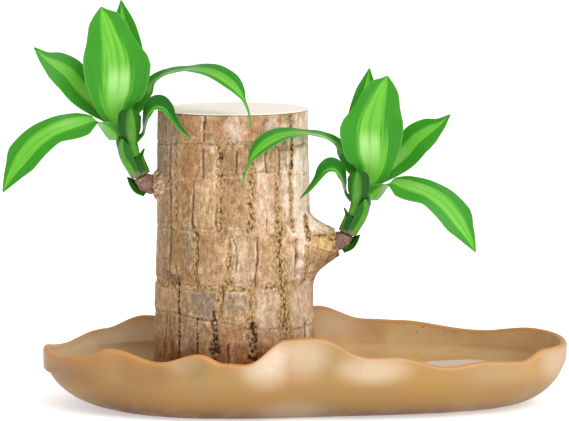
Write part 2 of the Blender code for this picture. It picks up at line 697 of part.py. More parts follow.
def build_collar(sprout, material):
    """Scaly bud collar that bends up from the stub's end face to the stem's foot."""
    rings = []
    for i in range(COLLAR_RINGS):
        part = i / (COLLAR_RINGS - 1)
        bend = radians(COLLAR_TURN * part)
        ring = []
        for k in range(COLLAR_SIDES):
            turn = 2.0 * pi * k / COLLAR_SIDES
            scale = SCALE_DEPTH * ((k + i) % 2) * (1.0 if 0 < i < COLLAR_RINGS - 1 else 0.0)
            radius = COLLAR_RADIUS + (COLLAR_TOP_RADIUS - COLLAR_RADIUS) * part - scale
            down = COLLAR_HINGE + radius * cos(turn)
            ring.append(sprout_point(sprout, down * sin(bend), radius * sin(turn),
                                     COLLAR_HINGE - down * cos(bend)))
        rings.append(ring)
    point_outward(add_object(f"{sprout.name}_collar", *loft(rings), material))


def main():
    """Build the whole object."""
    for obj in list(bpy.data.objects):
        bpy.data.objects.remove(obj)
    stoneware = make_material("tan_stoneware", (0.50, 0.31, 0.15), 0.35)
    water = make_material("water", (0.80, 0.88, 0.82), 0.03, 1.0)
    bark = make_material("dracaena_bark", (0.40, 0.27, 0.15), 0.85)
    wax = make_material("sealing_wax", (0.86, 0.80, 0.74), 0.45)
    scales = make_material("bud_scales", (0.24, 0.15, 0.11), 0.8)
    leaf_green = make_material("leaf_green", (0.12, 0.45, 0.06), 0.35)
    sheath_green = make_material("sheath_green", (0.04, 0.22, 0.03), 0.4)
    build_dish(stoneware)
    build_water(water)
    build_log(bark)
    build_wax(wax)
    for sprout in SPROUTS:
        build_collar(sprout, scales)
        build_stem(sprout, sheath_green)
        for leaf in LEAVES:
            green = leaf_green if leaf.name.startswith("leaf") else sheath_green
            build_leaf(sprout, leaf, green)


main()
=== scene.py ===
"""Dressed scene of a potted brazilian wood: a sprouting log in a wavy stoneware tray of water.

Sizes are in millimetres and degrees, and become metres where a mesh is made.
+X is right and -Y is front. The origin is the centre of the tray's flat foot.
"""

import logging
from collections.abc import Iterable
from dataclasses import dataclass, field
from enum import Enum
from math import atan2, cos, degrees, hypot, pi, radians, sin, tau

import bpy
import numpy as np
from mathutils import Euler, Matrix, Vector, noise


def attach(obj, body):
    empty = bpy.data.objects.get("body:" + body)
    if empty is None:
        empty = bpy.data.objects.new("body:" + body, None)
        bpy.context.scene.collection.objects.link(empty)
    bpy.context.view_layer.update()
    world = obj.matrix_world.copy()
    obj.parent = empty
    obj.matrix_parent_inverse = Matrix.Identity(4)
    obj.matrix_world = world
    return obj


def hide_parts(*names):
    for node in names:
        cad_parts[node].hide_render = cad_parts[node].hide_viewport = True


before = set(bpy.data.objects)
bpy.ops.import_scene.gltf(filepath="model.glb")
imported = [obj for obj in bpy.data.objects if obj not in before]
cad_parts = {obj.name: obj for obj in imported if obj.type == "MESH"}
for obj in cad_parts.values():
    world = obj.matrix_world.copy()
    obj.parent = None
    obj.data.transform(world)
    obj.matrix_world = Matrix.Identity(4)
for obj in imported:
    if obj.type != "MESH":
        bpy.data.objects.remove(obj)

MM = 0.001
LOG = logging.getLogger("potted_brazilian_wood")

Socket = bpy.types.NodeSocket
Colour = tuple[float, float, float, float]
Stations = tuple[tuple[float, ...], ...]


# Small tools


def srgb(code: str) -> Colour:
    """Turn an sRGB hex colour into a linear one.

    Args:
        code: colour as "#RRGGBB".

    Returns:
        Linear red, green and blue, with an alpha of 1.
    """
    parts = [int(code[i:i + 2], 16) / 255.0 for i in (1, 3, 5)]
    return (*[c / 12.92 if c <= 0.04045 else ((c + 0.055) / 1.055) ** 2.4 for c in parts], 1.0)


def per_metre(size_mm: float) -> float:
    """Scale of a pattern whose repeat is size_mm wide."""
    return 1.0 / (size_mm * MM)


def ease(part: np.ndarray | float) -> np.ndarray | float:
    """Go from 0 to 1 with level ends."""
    return 0.5 - 0.5 * np.cos(pi * np.clip(part, 0.0, 1.0))


def turn_between(a: np.ndarray | float, b: float) -> np.ndarray | float:
    """Signed turn from b to a, in degrees."""
    return (a - b + 180.0) % 360.0 - 180.0


def unit(vectors: np.ndarray) -> np.ndarray:
    """Scale vectors to length 1."""
    return vectors / np.linalg.norm(vectors, axis=-1, keepdims=True)


def rough_field(points: np.ndarray, size: float, octaves: int, seed: float) -> np.ndarray:
    """Smooth random values over points, about -1 to 1.

    Args:
        points: points in millimetres.
        size: width of the largest bumps.
        octaves: number of finer layers.
        seed: shift that gives another pattern.

    Returns:
        One value for each point.
    """
    places = (points.reshape(-1, 3) / size + seed).tolist()
    values = [noise.fractal(place, 1.0, 2.0, octaves) for place in places]
    return np.array(values).reshape(points.shape[:-1])


def cells(points: np.ndarray, size: float, seed: float) -> tuple[np.ndarray, np.ndarray]:
    """Split space into rounded cells.

    Args:
        points: points in millimetres.
        size: width of a cell.
        seed: shift that gives another pattern.

    Returns:
        For each point, 0 at its cell's border rising to about 1 inside, and its cell's own number.
    """
    inside, own = [], []
    for place in (points.reshape(-1, 3) / size + seed).tolist():
        distances, centres = noise.voronoi(place)
        inside.append(distances[1] - distances[0])
        own.append(noise.cell(Vector(centres[0]) * 7.0))
    shape = points.shape[:-1]
    return np.clip(np.array(inside) / 0.6, 0.0, 1.0).reshape(shape), np.array(own).reshape(shape)


def ring_faces(rows: int, columns: int) -> list:
    """Quads between neighbouring rings of points.

    Args:
        rows: number of rings.
        columns: number of points in a ring.

    Returns:
        Corners of each quad.
    """
    low = np.arange(rows - 1)[:, None] * columns
    here = np.arange(columns)[None, :]
    ahead = (here + 1) % columns
    corners = (low + here, low + ahead, low + columns + ahead, low + columns + here)
    return np.stack(corners, axis=-1).reshape(-1, 4).tolist()


def shut(grid: np.ndarray) -> tuple[np.ndarray, list]:
    """Close both ends of a loft of rings.

    Args:
        grid: rings of points, row by row.

    Returns:
        The points and the faces.
    """
    rows, columns = grid.shape[:2]
    ends = [list(range(columns))[::-1], list(range((rows - 1) * columns, rows * columns))]
    return grid.reshape(-1, 3), ring_faces(rows, columns) + ends


@dataclass
class Piece:
    """One mesh of the object, which stands for one CAD node.

    points are in millimetres. marks are values at the points that the finish reads.
    """

    node: str
    slot: str
    points: np.ndarray
    faces: list
    marks: dict[str, np.ndarray] = field(default_factory=dict)

    def volume(self) -> float:
        """Add up the volume under the faces.

        Returns:
            The volume, positive where the faces look outward.
        """
        total = 0.0
        for face in self.faces:
            corners = self.points[face]
            total += np.einsum("i,ji->", corners[0], np.cross(corners[1:-1], corners[2:]))
        return total

    def make(self, material: bpy.types.Material) -> bpy.types.Object:
        """Build the mesh, dress it and put it in its node's place.

        Args:
            material: finish of the piece.

        Returns:
            The new object.
        """
        faces = self.faces if self.volume() > 0.0 else [face[::-1] for face in self.faces]
        mesh = bpy.data.meshes.new(f"fine_{self.node}")
        mesh.from_pydata((self.points * MM).tolist(), [], faces)
        for name, values in self.marks.items():
            layer = mesh.attributes.new(name, "FLOAT", "POINT")
            layer.data.foreach_set("value", np.asarray(values, np.float32).ravel())
        mesh.materials.append(material)
        mesh.shade_smooth()
        piece = bpy.data.objects.new(f"fine_{self.node}", mesh)
        bpy.context.collection.objects.link(piece)
        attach(piece, "root")
        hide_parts(self.node)
        LOG.info("%s: %d points, %d faces", piece.name, len(self.points), len(faces))
        return piece


# Finishes


# Inputs of a Mix node: its factor, the two numbers that it mixes, and the two colours
FACTOR, LOW, HIGH, UNDER, OVER = 0, 2, 3, 6, 7


@dataclass(frozen=True)
class Coat:
    """A colour that a share of the surface takes on over what lies under it."""

    share: Socket | float
    colour: Socket | str
    blend: str = "MIX"


class Recipe:
    """A new material: the marks that it reads, and one Principled shader that its nodes feed."""

    def __init__(self, name: str, *marks: str) -> None:
        """Start the material.

        Args:
            name: name of the material.
            marks: names of the values at a piece's points that it reads.
        """
        self.material = bpy.data.materials.new(name)
        self.material.use_nodes = True
        self.tree = self.material.node_tree
        self.marks = {mark: self.add_node("Attribute", out="Fac", attribute_name=mark)
                      for mark in marks}

    def feed(self, node: bpy.types.Node, inputs: dict) -> None:
        """Link or set a node's inputs.

        Args:
            node: the node.
            inputs: a socket, value or hex colour for each input's name or number.
        """
        for key, value in inputs.items():
            if isinstance(value, Socket):
                self.tree.links.new(value, node.inputs[key])
            else:
                node.inputs[key].default_value = srgb(value) if isinstance(value, str) else value

    def add_node(self, kind: str, inputs: dict | None = None,
                 stops: Iterable[tuple[float, str]] = (), out: str = "",
                 **settings: object) -> Socket:
        """Add a node with its settings and links.

        Args:
            kind: type name of the node, without ShaderNode.
            inputs: a socket, value or hex colour for each input's name or number.
            stops: places and hex colours of a colour ramp.
            out: name of an output, or "" for the first that is in use.
            settings: attributes of the node.

        Returns:
            The output.
        """
        node = self.tree.nodes.new(f"ShaderNode{kind}")
        for name, value in settings.items():
            setattr(node, name, value)
        self.feed(node, inputs or {})
        for i, (place, code) in enumerate(stops):
            ramp = node.color_ramp.elements
            stop = ramp[i] if i < len(ramp) else ramp.new(place)
            stop.position, stop.color = place, srgb(code)
        return node.outputs[out] if out else next(s for s in node.outputs if s.enabled)

    def finish(self, ground: Socket | str, coats: list[Coat], inputs: dict) -> bpy.types.Material:
        """Lay the coats over the ground, and feed the shader.

        Args:
            ground: lowest colour.
            coats: colours over it, from the lowest up.
            inputs: what goes into the shader's other inputs.

        Returns:
            The material.
        """
        colour = ground
        for coat in coats:
            colour = self.add_node("Mix", {FACTOR: coat.share, UNDER: colour, OVER: coat.colour},
                                   data_type="RGBA", blend_type=coat.blend)
        self.feed(self.tree.nodes["Principled BSDF"], {"Base Color": colour} | inputs)
        return self.material


@dataclass(frozen=True)
class GlazedStoneware:
    """Stoneware, thrown and dipped in a satin caramel glaze.

    The glaze is pale where it pooled and orange brown where it ran thin, with a few iron specks.
    Painted shade darkens it low on the outer wall, its pale pools also paint highlights and
    reflections, and the inside is painted lighter where it lies in shade.
    """

    name: str = "dipped_satin_glazed_stoneware"
    glaze: str = "#A5814B"
    ochre: str = "#AC8442"
    # pale pooled glaze, also painted highlights and reflections on the wall
    pool: str = "#ECD9C2"
    thin: str = "#AE7440"
    olive: str = "#8D7A52"
    # painted shade: dark brown for the glaze low on the outer wall
    low: str = "#58340F"
    # lighter glaze inside the tray: partly paler pooled glaze, partly painted light in the shaded
    # interior
    inside: str = "#D2AE7C"
    rim: str = "#C28749"
    clay: str = "#8A6743"
    speck: str = "#5E4226"
    patch_mm: float = 60.0
    cloud_mm: float = 16.0
    speck_mm: float = 19.0
    brush_mm: float = 1.6
    foot_roughness: float = 0.85

    def build(self) -> bpy.types.Material:
        """Make the finish.

        Returns:
            The material.
        """
        recipe = Recipe(self.name, "lip", "inner", "foot", "pool", "thin", "olive", "ochre", "low")
        add, marks = recipe.add_node, recipe.marks
        place = add("TexCoord", out="Object")
        patches, clouds, brush = (add("TexNoise", {
            "Vector": place, "Scale": per_metre(size), "Detail": detail, "Roughness": rough})
            for size, detail, rough in (
                (self.patch_mm, 3.0, 0.5), (self.cloud_mm, 5.0, 0.6), (self.brush_mm, 2.0, 0.5)))
        ground = add("ValToRGB", {"Fac": patches}, (
            (0.34, self.thin), (0.46, self.glaze), (0.58, self.glaze), (0.7, self.ochre)))
        uneven = add("MapRange", {"Value": clouds, "From Min": 0.32, "From Max": 0.68,
                                  "To Min": 0.72, "To Max": 1.25})
        # low lays painted shade on the lower outer wall; the pools are pooled glaze and painted
        # highlights
        runs = [Coat(add("Math", {0: marks[mark], 1: uneven}, operation="MULTIPLY",
                         use_clamp=True), colour) for mark, colour in (
            ("low", self.low), ("ochre", self.ochre), ("thin", self.thin),
            ("olive", self.olive), ("pool", self.pool), ("lip", self.rim))]
        spots = add("TexVoronoi", {"Vector": place, "Scale": per_metre(self.speck_mm),
                                   "Randomness": 1.0})
        cloud, specks = (add("MapRange", {
            "Value": value, "From Min": low, "From Max": high, "To Max": most})
            for value, low, high, most in ((clouds, 0.5, 0.75, 0.3), (spots, 0.05, 0.025, 0.5)))
        gloss = add("MapRange", {"Value": clouds, "From Min": 0.3, "From Max": 0.7,
                                 "To Min": 0.32, "To Max": 0.48})
        return recipe.finish(ground, [
            Coat(marks["inner"], self.inside), *runs, Coat(cloud, self.thin),
            Coat(specks, self.speck), Coat(marks["foot"], self.clay)], {
            "Roughness": add("Mix", {FACTOR: marks["foot"], LOW: gloss, HIGH: self.foot_roughness}),
            "Normal": add("Bump", {"Height": brush, "Strength": 0.12, "Distance": 0.3 * MM}),
            "IOR": 1.5, "Specular IOR Level": 0.36})


@dataclass(frozen=True)
class StillWater:
    """Clear tap water at rest: a mirror at low angles, and a window onto the glaze."""

    name: str = "still_clear_water"
    tint: str = "#F1F6EE"
    ripple_mm: float = 22.0

    def build(self) -> bpy.types.Material:
        """Make the finish.

        Returns:
            The material.
        """
        recipe = Recipe(self.name)
        swell = recipe.add_node("TexNoise", {
            "Vector": recipe.add_node("TexCoord", out="Object"),
            "Scale": per_metre(self.ripple_mm), "Detail": 1.0})
        return recipe.finish(self.tint, [], {
            "Transmission Weight": 1.0, "Roughness": 0.03, "IOR": 1.333,
            "Normal": recipe.add_node("Bump", {
                "Height": swell, "Strength": 0.25, "Distance": 0.4 * MM})})


@dataclass(frozen=True)
class WeatheredBark:
    """Dry dracaena bark, sawn and weathered.

    Smooth tan and pinkish plates, crumbly golden cork in the seams, dark pits, a wet foot. Pale lines
    along seams and scars are painted highlights; the right side is painted lighter and the left side
    darker, as light and shade.
    The cork's grains, about 0.6 mm wide, are drawn two to three times as coarse, so that they
    show.
    """

    name: str = "weathered_dracaena_bark"
    plate_dark: str = "#9A7850"
    plate_light: str = "#C6A680"
    # pale plate colour, also painted light on the right side and painted highlights along seam edges
    plate_pale_and_highlight: str = "#EEDCCB"
    red: str = "#A9694A"
    grey: str = "#94826F"
    cork_dark: str = "#573E22"
    cork: str = "#B49160"
    cork_light: str = "#E6CFA2"
    gold: str = "#D8B27A"
    pit_dark: str = "#22150B"
    pit: str = "#5B3F22"
    pit_light: str = "#C9AE86"
    crack: str = "#55381F"
    wet: str = "#BC8C46"
    fibre_mm: float = 1.5
    grain_mm: float = 1.15
    crumb_mm: float = 1.5
    mottle_mm: float = 2.8
    blotch_mm: float = 8.0

    def build(self) -> bpy.types.Material:
        """Make the finish.

        Returns:
            The material.
        """
        recipe = Recipe(self.name, "cork", "crack", "pit", "tint", "edge", "pale", "red", "grey",
                        "gold", "wet")
        add, marks = recipe.add_node, recipe.marks
        place = add("TexCoord", out="Object")
        drawn, squashed = (add("Mapping", {"Vector": place, "Scale": (1.0, 1.0, height)})
                           for height in (0.2, 0.6))
        fibres, grains, blotches, mottle = (add("TexNoise", {
            "Vector": where, "Scale": per_metre(size), "Detail": detail, "Roughness": rough})
            for where, size, detail, rough in (
                (drawn, self.fibre_mm, 4.0, 0.65), (place, self.grain_mm, 4.0, 0.75),
                (place, self.blotch_mm, 5.0, 0.65), (squashed, self.mottle_mm, 5.0, 0.72)))
        crumbs = add("TexVoronoi", {"Vector": squashed, "Scale": per_metre(self.crumb_mm),
                                    "Randomness": 1.0})
        uneven = add("MapRange", {"Value": blotches, "From Min": 0.3, "From Max": 0.7,
                                  "To Min": -0.45, "To Max": 0.45})
        tone = add("Math", {0: marks["tint"], 1: uneven}, operation="ADD", use_clamp=True)
        patchy = add("Math", {0: uneven, 1: 0.7, 2: 1.0}, operation="MULTIPLY_ADD")
        stains = [Coat(add("Math", {0: marks[mark], 1: patchy}, operation="MULTIPLY",
                           use_clamp=True), colour) for mark, colour in (
            ("grey", self.grey), ("red", self.red), ("gold", self.gold),
            ("pale", self.plate_pale_and_highlight), ("edge", self.plate_pale_and_highlight))]
        speckle = add("ValToRGB", {"Fac": add("Mix", {FACTOR: 0.45, LOW: mottle, HIGH: grains})}, (
            (0.38, "#5E4E44"), (0.46, "#A9A19A"), (0.515, "#BCBCBC"), (0.61, "#F4F0EA")))
        streaks = add("ValToRGB", {"Fac": fibres}, (
            (0.32, "#A3907E"), (0.46, "#F2EDE6"), (0.56, "#FFFFFF"), (0.7, "#FFFFFF")))
        crumble = add("Math", {0: grains, 1: -1.1, 2: crumbs}, operation="MULTIPLY_ADD")
        hollow = add("MapRange", {"Value": crumble, "From Min": -0.55, "From Max": 0.35})
        cork = add("ValToRGB", {"Fac": hollow}, (
            (0.08, self.cork_light), (0.36, self.cork), (0.62, self.cork), (0.86, self.cork_dark)))
        pits = add("ValToRGB", {"Fac": hollow}, (
            (0.16, self.pit_light), (0.3, self.pit), (0.6, self.pit), (0.8, self.pit_dark)))
        corky, pitted, cracked = (add("MapRange", {
            "Value": add("Math", {0: grains, 1: ragged, 2: marks[mark]}, operation="MULTIPLY_ADD"),
            "From Min": low, "From Max": high, "To Max": most})
            for mark, ragged, low, high, most in (
                ("cork", 1.5, 0.95, 1.45, 1.0), ("pit", 1.2, 1.02, 1.2, 1.0),
                ("crack", 1.4, 0.95, 1.5, 0.92)))
        damp = add("Math", {0: marks["wet"], 1: uneven}, operation="ADD", use_clamp=True)
        soaked = add("Math", {0: damp, 1: marks["wet"]}, operation="MULTIPLY", use_clamp=True)
        relief = add("Math", {0: crumble, 1: marks["cork"], 2: fibres}, operation="MULTIPLY_ADD")
        return recipe.finish(self.plate_dark, [
            Coat(tone, self.plate_light), *stains, Coat(0.7, speckle, "OVERLAY"),
            Coat(0.45, streaks, "MULTIPLY"), Coat(corky, cork), Coat(pitted, pits),
            Coat(cracked, self.crack), Coat(soaked, self.wet, "MULTIPLY")], {
            "Roughness": add("MapRange", {"Value": soaked, "To Min": 0.86, "To Max": 0.45}),
            "Normal": add("Bump", {"Height": relief, "Strength": 0.55, "Distance": 0.6 * MM}),
            "Specular IOR Level": 0.3})


@dataclass(frozen=True)
class BrushedWax:
    """Pale sealing wax brushed over the saw cut: an even, slightly see-through satin skin."""

    name: str = "brushed_sealing_wax"
    wax: str = "#F6EDE1"
    thin: str = "#F0E6D8"
    cloud_mm: float = 26.0
    brush_mm: float = 3.0

    def build(self) -> bpy.types.Material:
        """Make the finish.

        Returns:
            The material.
        """
        recipe = Recipe(self.name, "rim")
        add = recipe.add_node
        place = add("TexCoord", out="Object")
        drawn = add("Mapping", {"Vector": place, "Scale": (0.2, 1.0, 1.0)})
        clouds, brush = (add("TexNoise", {
            "Vector": where, "Scale": per_metre(size), "Detail": detail})
            for where, size, detail in ((place, self.cloud_mm, 3.0), (drawn, self.brush_mm, 2.0)))
        ground = add("ValToRGB", {"Fac": clouds}, ((0.3, self.thin), (0.5, self.wax)))
        return recipe.finish(ground, [Coat(recipe.marks["rim"], self.thin)], {
            "Roughness": add("MapRange", {"Value": brush, "To Min": 0.55, "To Max": 0.7}),
            "Normal": add("Bump", {"Height": brush, "Strength": 0.08, "Distance": 0.2 * MM}),
            "IOR": 1.44, "Specular IOR Level": 0.2, "Subsurface Weight": 0.15,
            "Subsurface Radius": (1.0, 0.8, 0.6), "Subsurface Scale": 1.5 * MM})


@dataclass(frozen=True)
class DryBudScales:
    """Dry papery bud scales: mauve brown lumps with pale chapped tops and thin dark gaps."""

    name: str = "dry_bud_scales"
    scale: str = "#957362"
    chapped: str = "#C4A898"
    gap: str = "#4A3429"
    grain_mm: float = 1.2

    def build(self) -> bpy.types.Material:
        """Make the finish.

        Returns:
            The material.
        """
        recipe = Recipe(self.name, "lobe", "pale")
        add, marks = recipe.add_node, recipe.marks
        grain = add("TexNoise", {
            "Vector": add("TexCoord", out="Object"), "Scale": per_metre(self.grain_mm),
            "Detail": 3.0, "Roughness": 0.7})
        lumpy = add("Math", {0: grain, 1: 0.6, 2: marks["lobe"]}, operation="MULTIPLY_ADD")
        ground = add("ValToRGB", {"Fac": lumpy}, ((0.22, self.gap), (0.46, self.scale)))
        dry = add("Math", {0: grain, 1: marks["pale"]}, operation="MULTIPLY")
        chaps = add("MapRange", {"Value": dry, "From Min": 0.12, "From Max": 0.5})
        return recipe.finish(ground, [Coat(chaps, self.chapped)], {
            "Roughness": add("MapRange", {"Value": grain, "To Min": 0.65, "To Max": 0.95}),
            "Normal": add("Bump", {"Height": grain, "Strength": 0.7, "Distance": 0.5 * MM}),
            "Specular IOR Level": 0.3})


@dataclass(frozen=True)
class WaxyLeaf:
    """Fresh strap leaf with a waxy skin: soft gloss, fine parallel veins, a pale middle band.

    The veins, about 0.5 mm apart, are drawn two to three times as wide, so that they show.
    """

    name: str
    margin: str
    band: str
    base: str
    line: str
    edge: str
    root: str = "#8C7062"
    veins: float = 12.0
    run: float = 1.6
    roughness: float = 0.36

    def build(self) -> bpy.types.Material:
        """Make the finish.

        Returns:
            The material.
        """
        recipe = Recipe(self.name, "across", "along", "band", "pale", "depth", "root", "seed")
        add, marks = recipe.add_node, recipe.marks
        spread, run = (add("Math", {0: marks[mark], 1: count}, operation="MULTIPLY")
                       for mark, count in (("across", self.veins), ("along", self.run)))
        drawn = add("CombineXYZ", {0: spread, 1: run, 2: marks["seed"]})
        veins = add("TexNoise", {"Vector": drawn, "Scale": 1.0, "Detail": 3.0, "Roughness": 0.6})
        streak = add("MapRange", {"Value": veins, "From Min": 0.3, "From Max": 0.7,
                                  "To Min": -0.28, "To Max": 0.28})
        banded = add("Math", {0: marks["band"], 1: streak}, operation="ADD")
        side = add("Math", {0: marks["across"]}, operation="ABSOLUTE")
        feather, lines, rim = (add("MapRange", {
            "Value": value, "From Min": low, "From Max": high, "To Max": most})
            for value, low, high, most in (
                (banded, 0.3, 0.7, 1.0), (veins, 0.44, 0.3, 0.3), (side, 0.96, 0.995, 0.35)))
        gloss = add("MapRange", {"Value": veins, "To Min": self.roughness - 0.07,
                                 "To Max": self.roughness + 0.1})
        # The depth mark is painted shade on one half of the leaf, with its darkest lines.
        return recipe.finish(self.margin, [
            Coat(feather, self.band), Coat(marks["pale"], self.base), Coat(lines, self.line),
            Coat(marks["depth"], self.line), Coat(rim, self.edge), Coat(marks["root"], self.root)], {
            "Roughness": gloss,
            "Normal": add("Bump", {"Height": veins, "Strength": 0.3, "Distance": 0.35 * MM}),
            "IOR": 1.42, "Specular IOR Level": 0.3, "Subsurface Weight": 0.12,
            "Subsurface Radius": (0.5, 1.0, 0.2), "Subsurface Scale": 1.0 * MM})


@dataclass(frozen=True)
class LightTable:
    """Opal acrylic light table, lit a little from below, so that shadows on it stay faint."""

    name: str = "opal_acrylic_light_table"
    acrylic: str = "#FAFAFA"
    dull: str = "#F7F7F7"
    glow: float = 0.48
    tooth_mm: float = 4.0

    def build(self) -> bpy.types.Material:
        """Make the finish.

        Returns:
            The material.
        """
        recipe = Recipe(self.name)
        tooth = recipe.add_node("TexNoise", {
            "Vector": recipe.add_node("TexCoord", out="Object"), "Scale": per_metre(self.tooth_mm)})
        ground = recipe.add_node("ValToRGB", {"Fac": tooth}, ((0.2, self.dull), (0.8, self.acrylic)))
        return recipe.finish(ground, [], {
            "Roughness": 0.9, "Specular IOR Level": 0.1, "Emission Color": self.acrylic,
            "Emission Strength": self.glow})


# Tray and water


@dataclass(frozen=True)
class Patch:
    """A patch of another colour on the tray's wall or the bark.

    It has a mark, a middle, half sizes and a strength. place is X on the tray, and the direction
    round the log.
    """

    mark: str
    place: float
    height: float
    half_width: float
    half_height: float
    strength: float


# The low mark is painted shade, darker toward the foot; the pools also paint highlights.
GLAZE_MARKS = ("pool", "thin", "olive", "ochre", "low")

# Runs and pools on the front. The low runs are painted shade toward the foot and the left end; the
# pale pools also paint highlights, the brightest at -25.
FRONT_RUNS = [Patch(*row) for row in (
    ("thin", -144, 40, 18, 9, 0.4), ("low", -152, 20, 26, 20, 0.45), ("low", -118, 0, 60, 20, 0.95),
    ("low", -103, 32, 17, 18, 0.3), ("low", -71, 41, 9, 9, 0.3), ("thin", -106, 36, 8, 5, 0.25),
    ("olive", -68, 27, 6, 14, 0.35), ("pool", -78, 40, 10, 6, 0.15), ("pool", -25, 44, 15, 16, 0.7),
    ("pool", -4, 46, 17, 14, 0.4), ("pool", -8, 6, 18, 8, 0.14), ("olive", 15, 36, 5, 18, 0.25),
    ("pool", 43, 36, 20, 9, 0.46), ("pool", 130, 32, 26, 9, 0.1), ("pool", 160, 36, 9, 13, 0.3),
    ("ochre", -60, 15, 90, 8, 0.4), ("ochre", 60, 14, 80, 8, 0.4), ("olive", -8, 8, 28, 7, 0.4),
    ("olive", -150, 20, 9, 10, 0.2),
)]

# Runs and pools on the back and the inside; the pale pools at the left end also paint light on the
# inner wall where it lies in shade.
BACK_RUNS = [Patch(*row) for row in (
    ("pool", -150, 33, 18, 8, 0.6), ("pool", -128, 38, 14, 9, 0.6), ("pool", -104, 36, 20, 9, 0.4),
    ("pool", 24, 44, 16, 9, 0.35), ("thin", 44, 36, 12, 12, 0.4), ("olive", 110, 32, 34, 10, 0.3),
    ("thin", 150, 30, 16, 9, 0.35),
)]


@dataclass(frozen=True)
class Fold:
    """A stretch of the rim that was pressed upright, down to a step in the wall."""

    direction: float
    half_width: float
    step: float
    softness: float
    share: float


@dataclass(frozen=True)
class Tray:
    """Shallow stoneware tray with a flat foot, a bellied wall and a wavy rim."""

    half_length: float = 172.3
    half_depth: float = 83.0
    taper: float = 0.10
    rim_power: float = 2.35
    foot_half_length: float = 115.0
    foot_half_depth: float = 48.5
    foot_taper: float = 0.386
    foot_power: float = 3.0
    foot_shift: float = 7.0
    foot_hollow: float = 0.6  # how far the foot's middle stands off the table
    foot_edge: float = 0.15
    wall_power: float = 2.25
    wall: float = 5.0
    floor: float = 7.0
    floor_edge: float = 9.0
    lip_drop: float = 2.6
    lip_fade: float = 7.0  # the rim's colour fades out this far below it
    painted_shade_strength: float = 0.88  # painted shade: darker glaze low on the outer side, and how it fades
    painted_shade_loss: float = 0.26
    painted_shade_left: float = 85.0
    painted_shade_height: float = 27.0
    end_depth: float = 30.0  # the front's and the back's runs meet in the tray's ends
    clay_height: float = 1.2
    flute_depth: float = 2.2
    flute_crest: float = 10.0
    rim_mean: float = 43.0
    columns: int = 360
    outer_rows: int = 40
    lip_rows: int = 9
    inner_rows: int = 16
    # Crests and troughs of the rim: direction seen from above, height over the foot's plane
    rim_wave: Stations = (
        (14, 44), (27, 39.5), (48, 44), (62, 44.5), (84, 52.8), (106, 42), (124, 46.5), (135, 43),
        (146.5, 47.6), (156, 40.5), (168, 34.6), (183, 39.6), (192, 37.8), (201, 39.6), (208.5, 47),
        (219, 39.6), (230, 45.4), (237.5, 39.6), (244.5, 39), (262, 55.4), (274, 56.6), (298, 42.9),
        (307, 42.9), (324, 35.4), (332, 37.6), (341, 35.8), (346.5, 42.2), (355, 42),
    )
    folds: tuple[Fold, ...] = (Fold(181.0, 14.0, 24.2, 1.5, 0.95), Fold(1.0, 22.0, 25.0, 9.0, 0.7))

    def rim_height(self, angle: float) -> float:
        """Height of the rim, eased from crest to trough.

        Args:
            angle: direction seen from above, in degrees.

        Returns:
            The height over the foot's plane.
        """
        angle %= 360.0
        first, last = self.rim_wave[0], self.rim_wave[-1]
        knots = [(last[0] - 360.0, last[1]), *self.rim_wave, (first[0] + 360.0, first[1])]
        (a0, h0), (a1, h1) = next(pair for pair in zip(knots, knots[1:]) if angle <= pair[1][0])
        return h0 + (h1 - h0) * ease((angle - a0) / (a1 - a0))

    def plan(self, turn: float, length: float, depth: float, taper: float,
             power: float) -> tuple[float, float]:
        """Point of a superellipse that narrows toward +X.

        Args:
            turn: turn of the point.
            length: half length.
            depth: half depth at the middle.
            taper: share of the depth that is lost at the +X end.
            power: 2 for an ellipse, more for a squarer outline.

        Returns:
            The point.
        """
        c, s = cos(turn), sin(turn)
        x = length * abs(c) ** (2.0 / power) * (1 if c >= 0 else -1)
        depth *= 1.0 - taper * x / length
        return x, depth * abs(s) ** (2.0 / power) * (1 if s >= 0 else -1)

    def rim_plan(self, turn: float) -> tuple[float, float]:
        """Point of the rim's outline seen from above."""
        return self.plan(turn, self.half_length, self.half_depth, self.taper, self.rim_power)

    def foot_plan(self, turn: float, edge: float) -> tuple[float, float]:
        """Point of the foot's outline, or of one outside it.

        Args:
            turn: turn of the point.
            edge: distance out from the foot.

        Returns:
            The point.
        """
        point = self.plan(turn, self.foot_half_length, self.foot_half_depth, self.foot_taper,
                          self.foot_power)
        x, y = self.inset(point, -edge)
        return x + self.foot_shift, y

    def inset(self, point: tuple[float, float], distance: float) -> tuple[float, float]:
        """Move a plan point toward the centre."""
        share = 1.0 - distance / hypot(*point)
        return point[0] * share, point[1] * share

    def top(self, turn: float) -> float:
        """Height of the rim at a turn."""
        x, y = self.rim_plan(turn)
        return self.rim_height(degrees(atan2(y, x)))

    def wall_point(self, turn: float, height: float, shell: float) -> tuple[float, float, float]:
        """Point of the wall.

        Args:
            turn: turn of the column.
            height: height over the foot's plane.
            shell: distance in from the outer side.

        Returns:
            The point.
        """
        rim, top = self.rim_plan(turn), self.top(turn)
        base = self.floor if shell > 0.0 else 0.0
        foot = self.foot_plan(turn, self.floor_edge if shell > 0.0 else 0.0)
        part = min(max((height - base) / (top - base), 0.0), 1.0)
        spread = (1.0 - (1.0 - part) ** self.wall_power) ** (1.0 / self.wall_power)
        flute = self.flute_depth * (top - self.rim_mean) / self.flute_crest * part ** 2
        out = [f + (r - f) * spread for f, r in zip(foot, rim)]
        return (*self.inset((out[0], out[1]), shell - flute), height)

    def fold_reach(self, turn: float, height: float) -> float:
        """How far the folds push the wall out.

        Args:
            turn: turn of the column.
            height: height over the foot's plane.

        Returns:
            The distance, at most up to the rim's outline.
        """
        rim = self.rim_plan(turn)
        x, y, _ = self.wall_point(turn, height, 0.0)
        direction = degrees(atan2(rim[1], rim[0]))
        room = max(hypot(*rim) - hypot(x, y) - 0.4, 0.0)
        shares = [fold.share * ease(2.0 - 2.0 * abs(turn_between(direction, fold.direction))
                                    / fold.half_width)
                  * ease((height - fold.step) / fold.softness) for fold in self.folds]
        return room * max(shares)

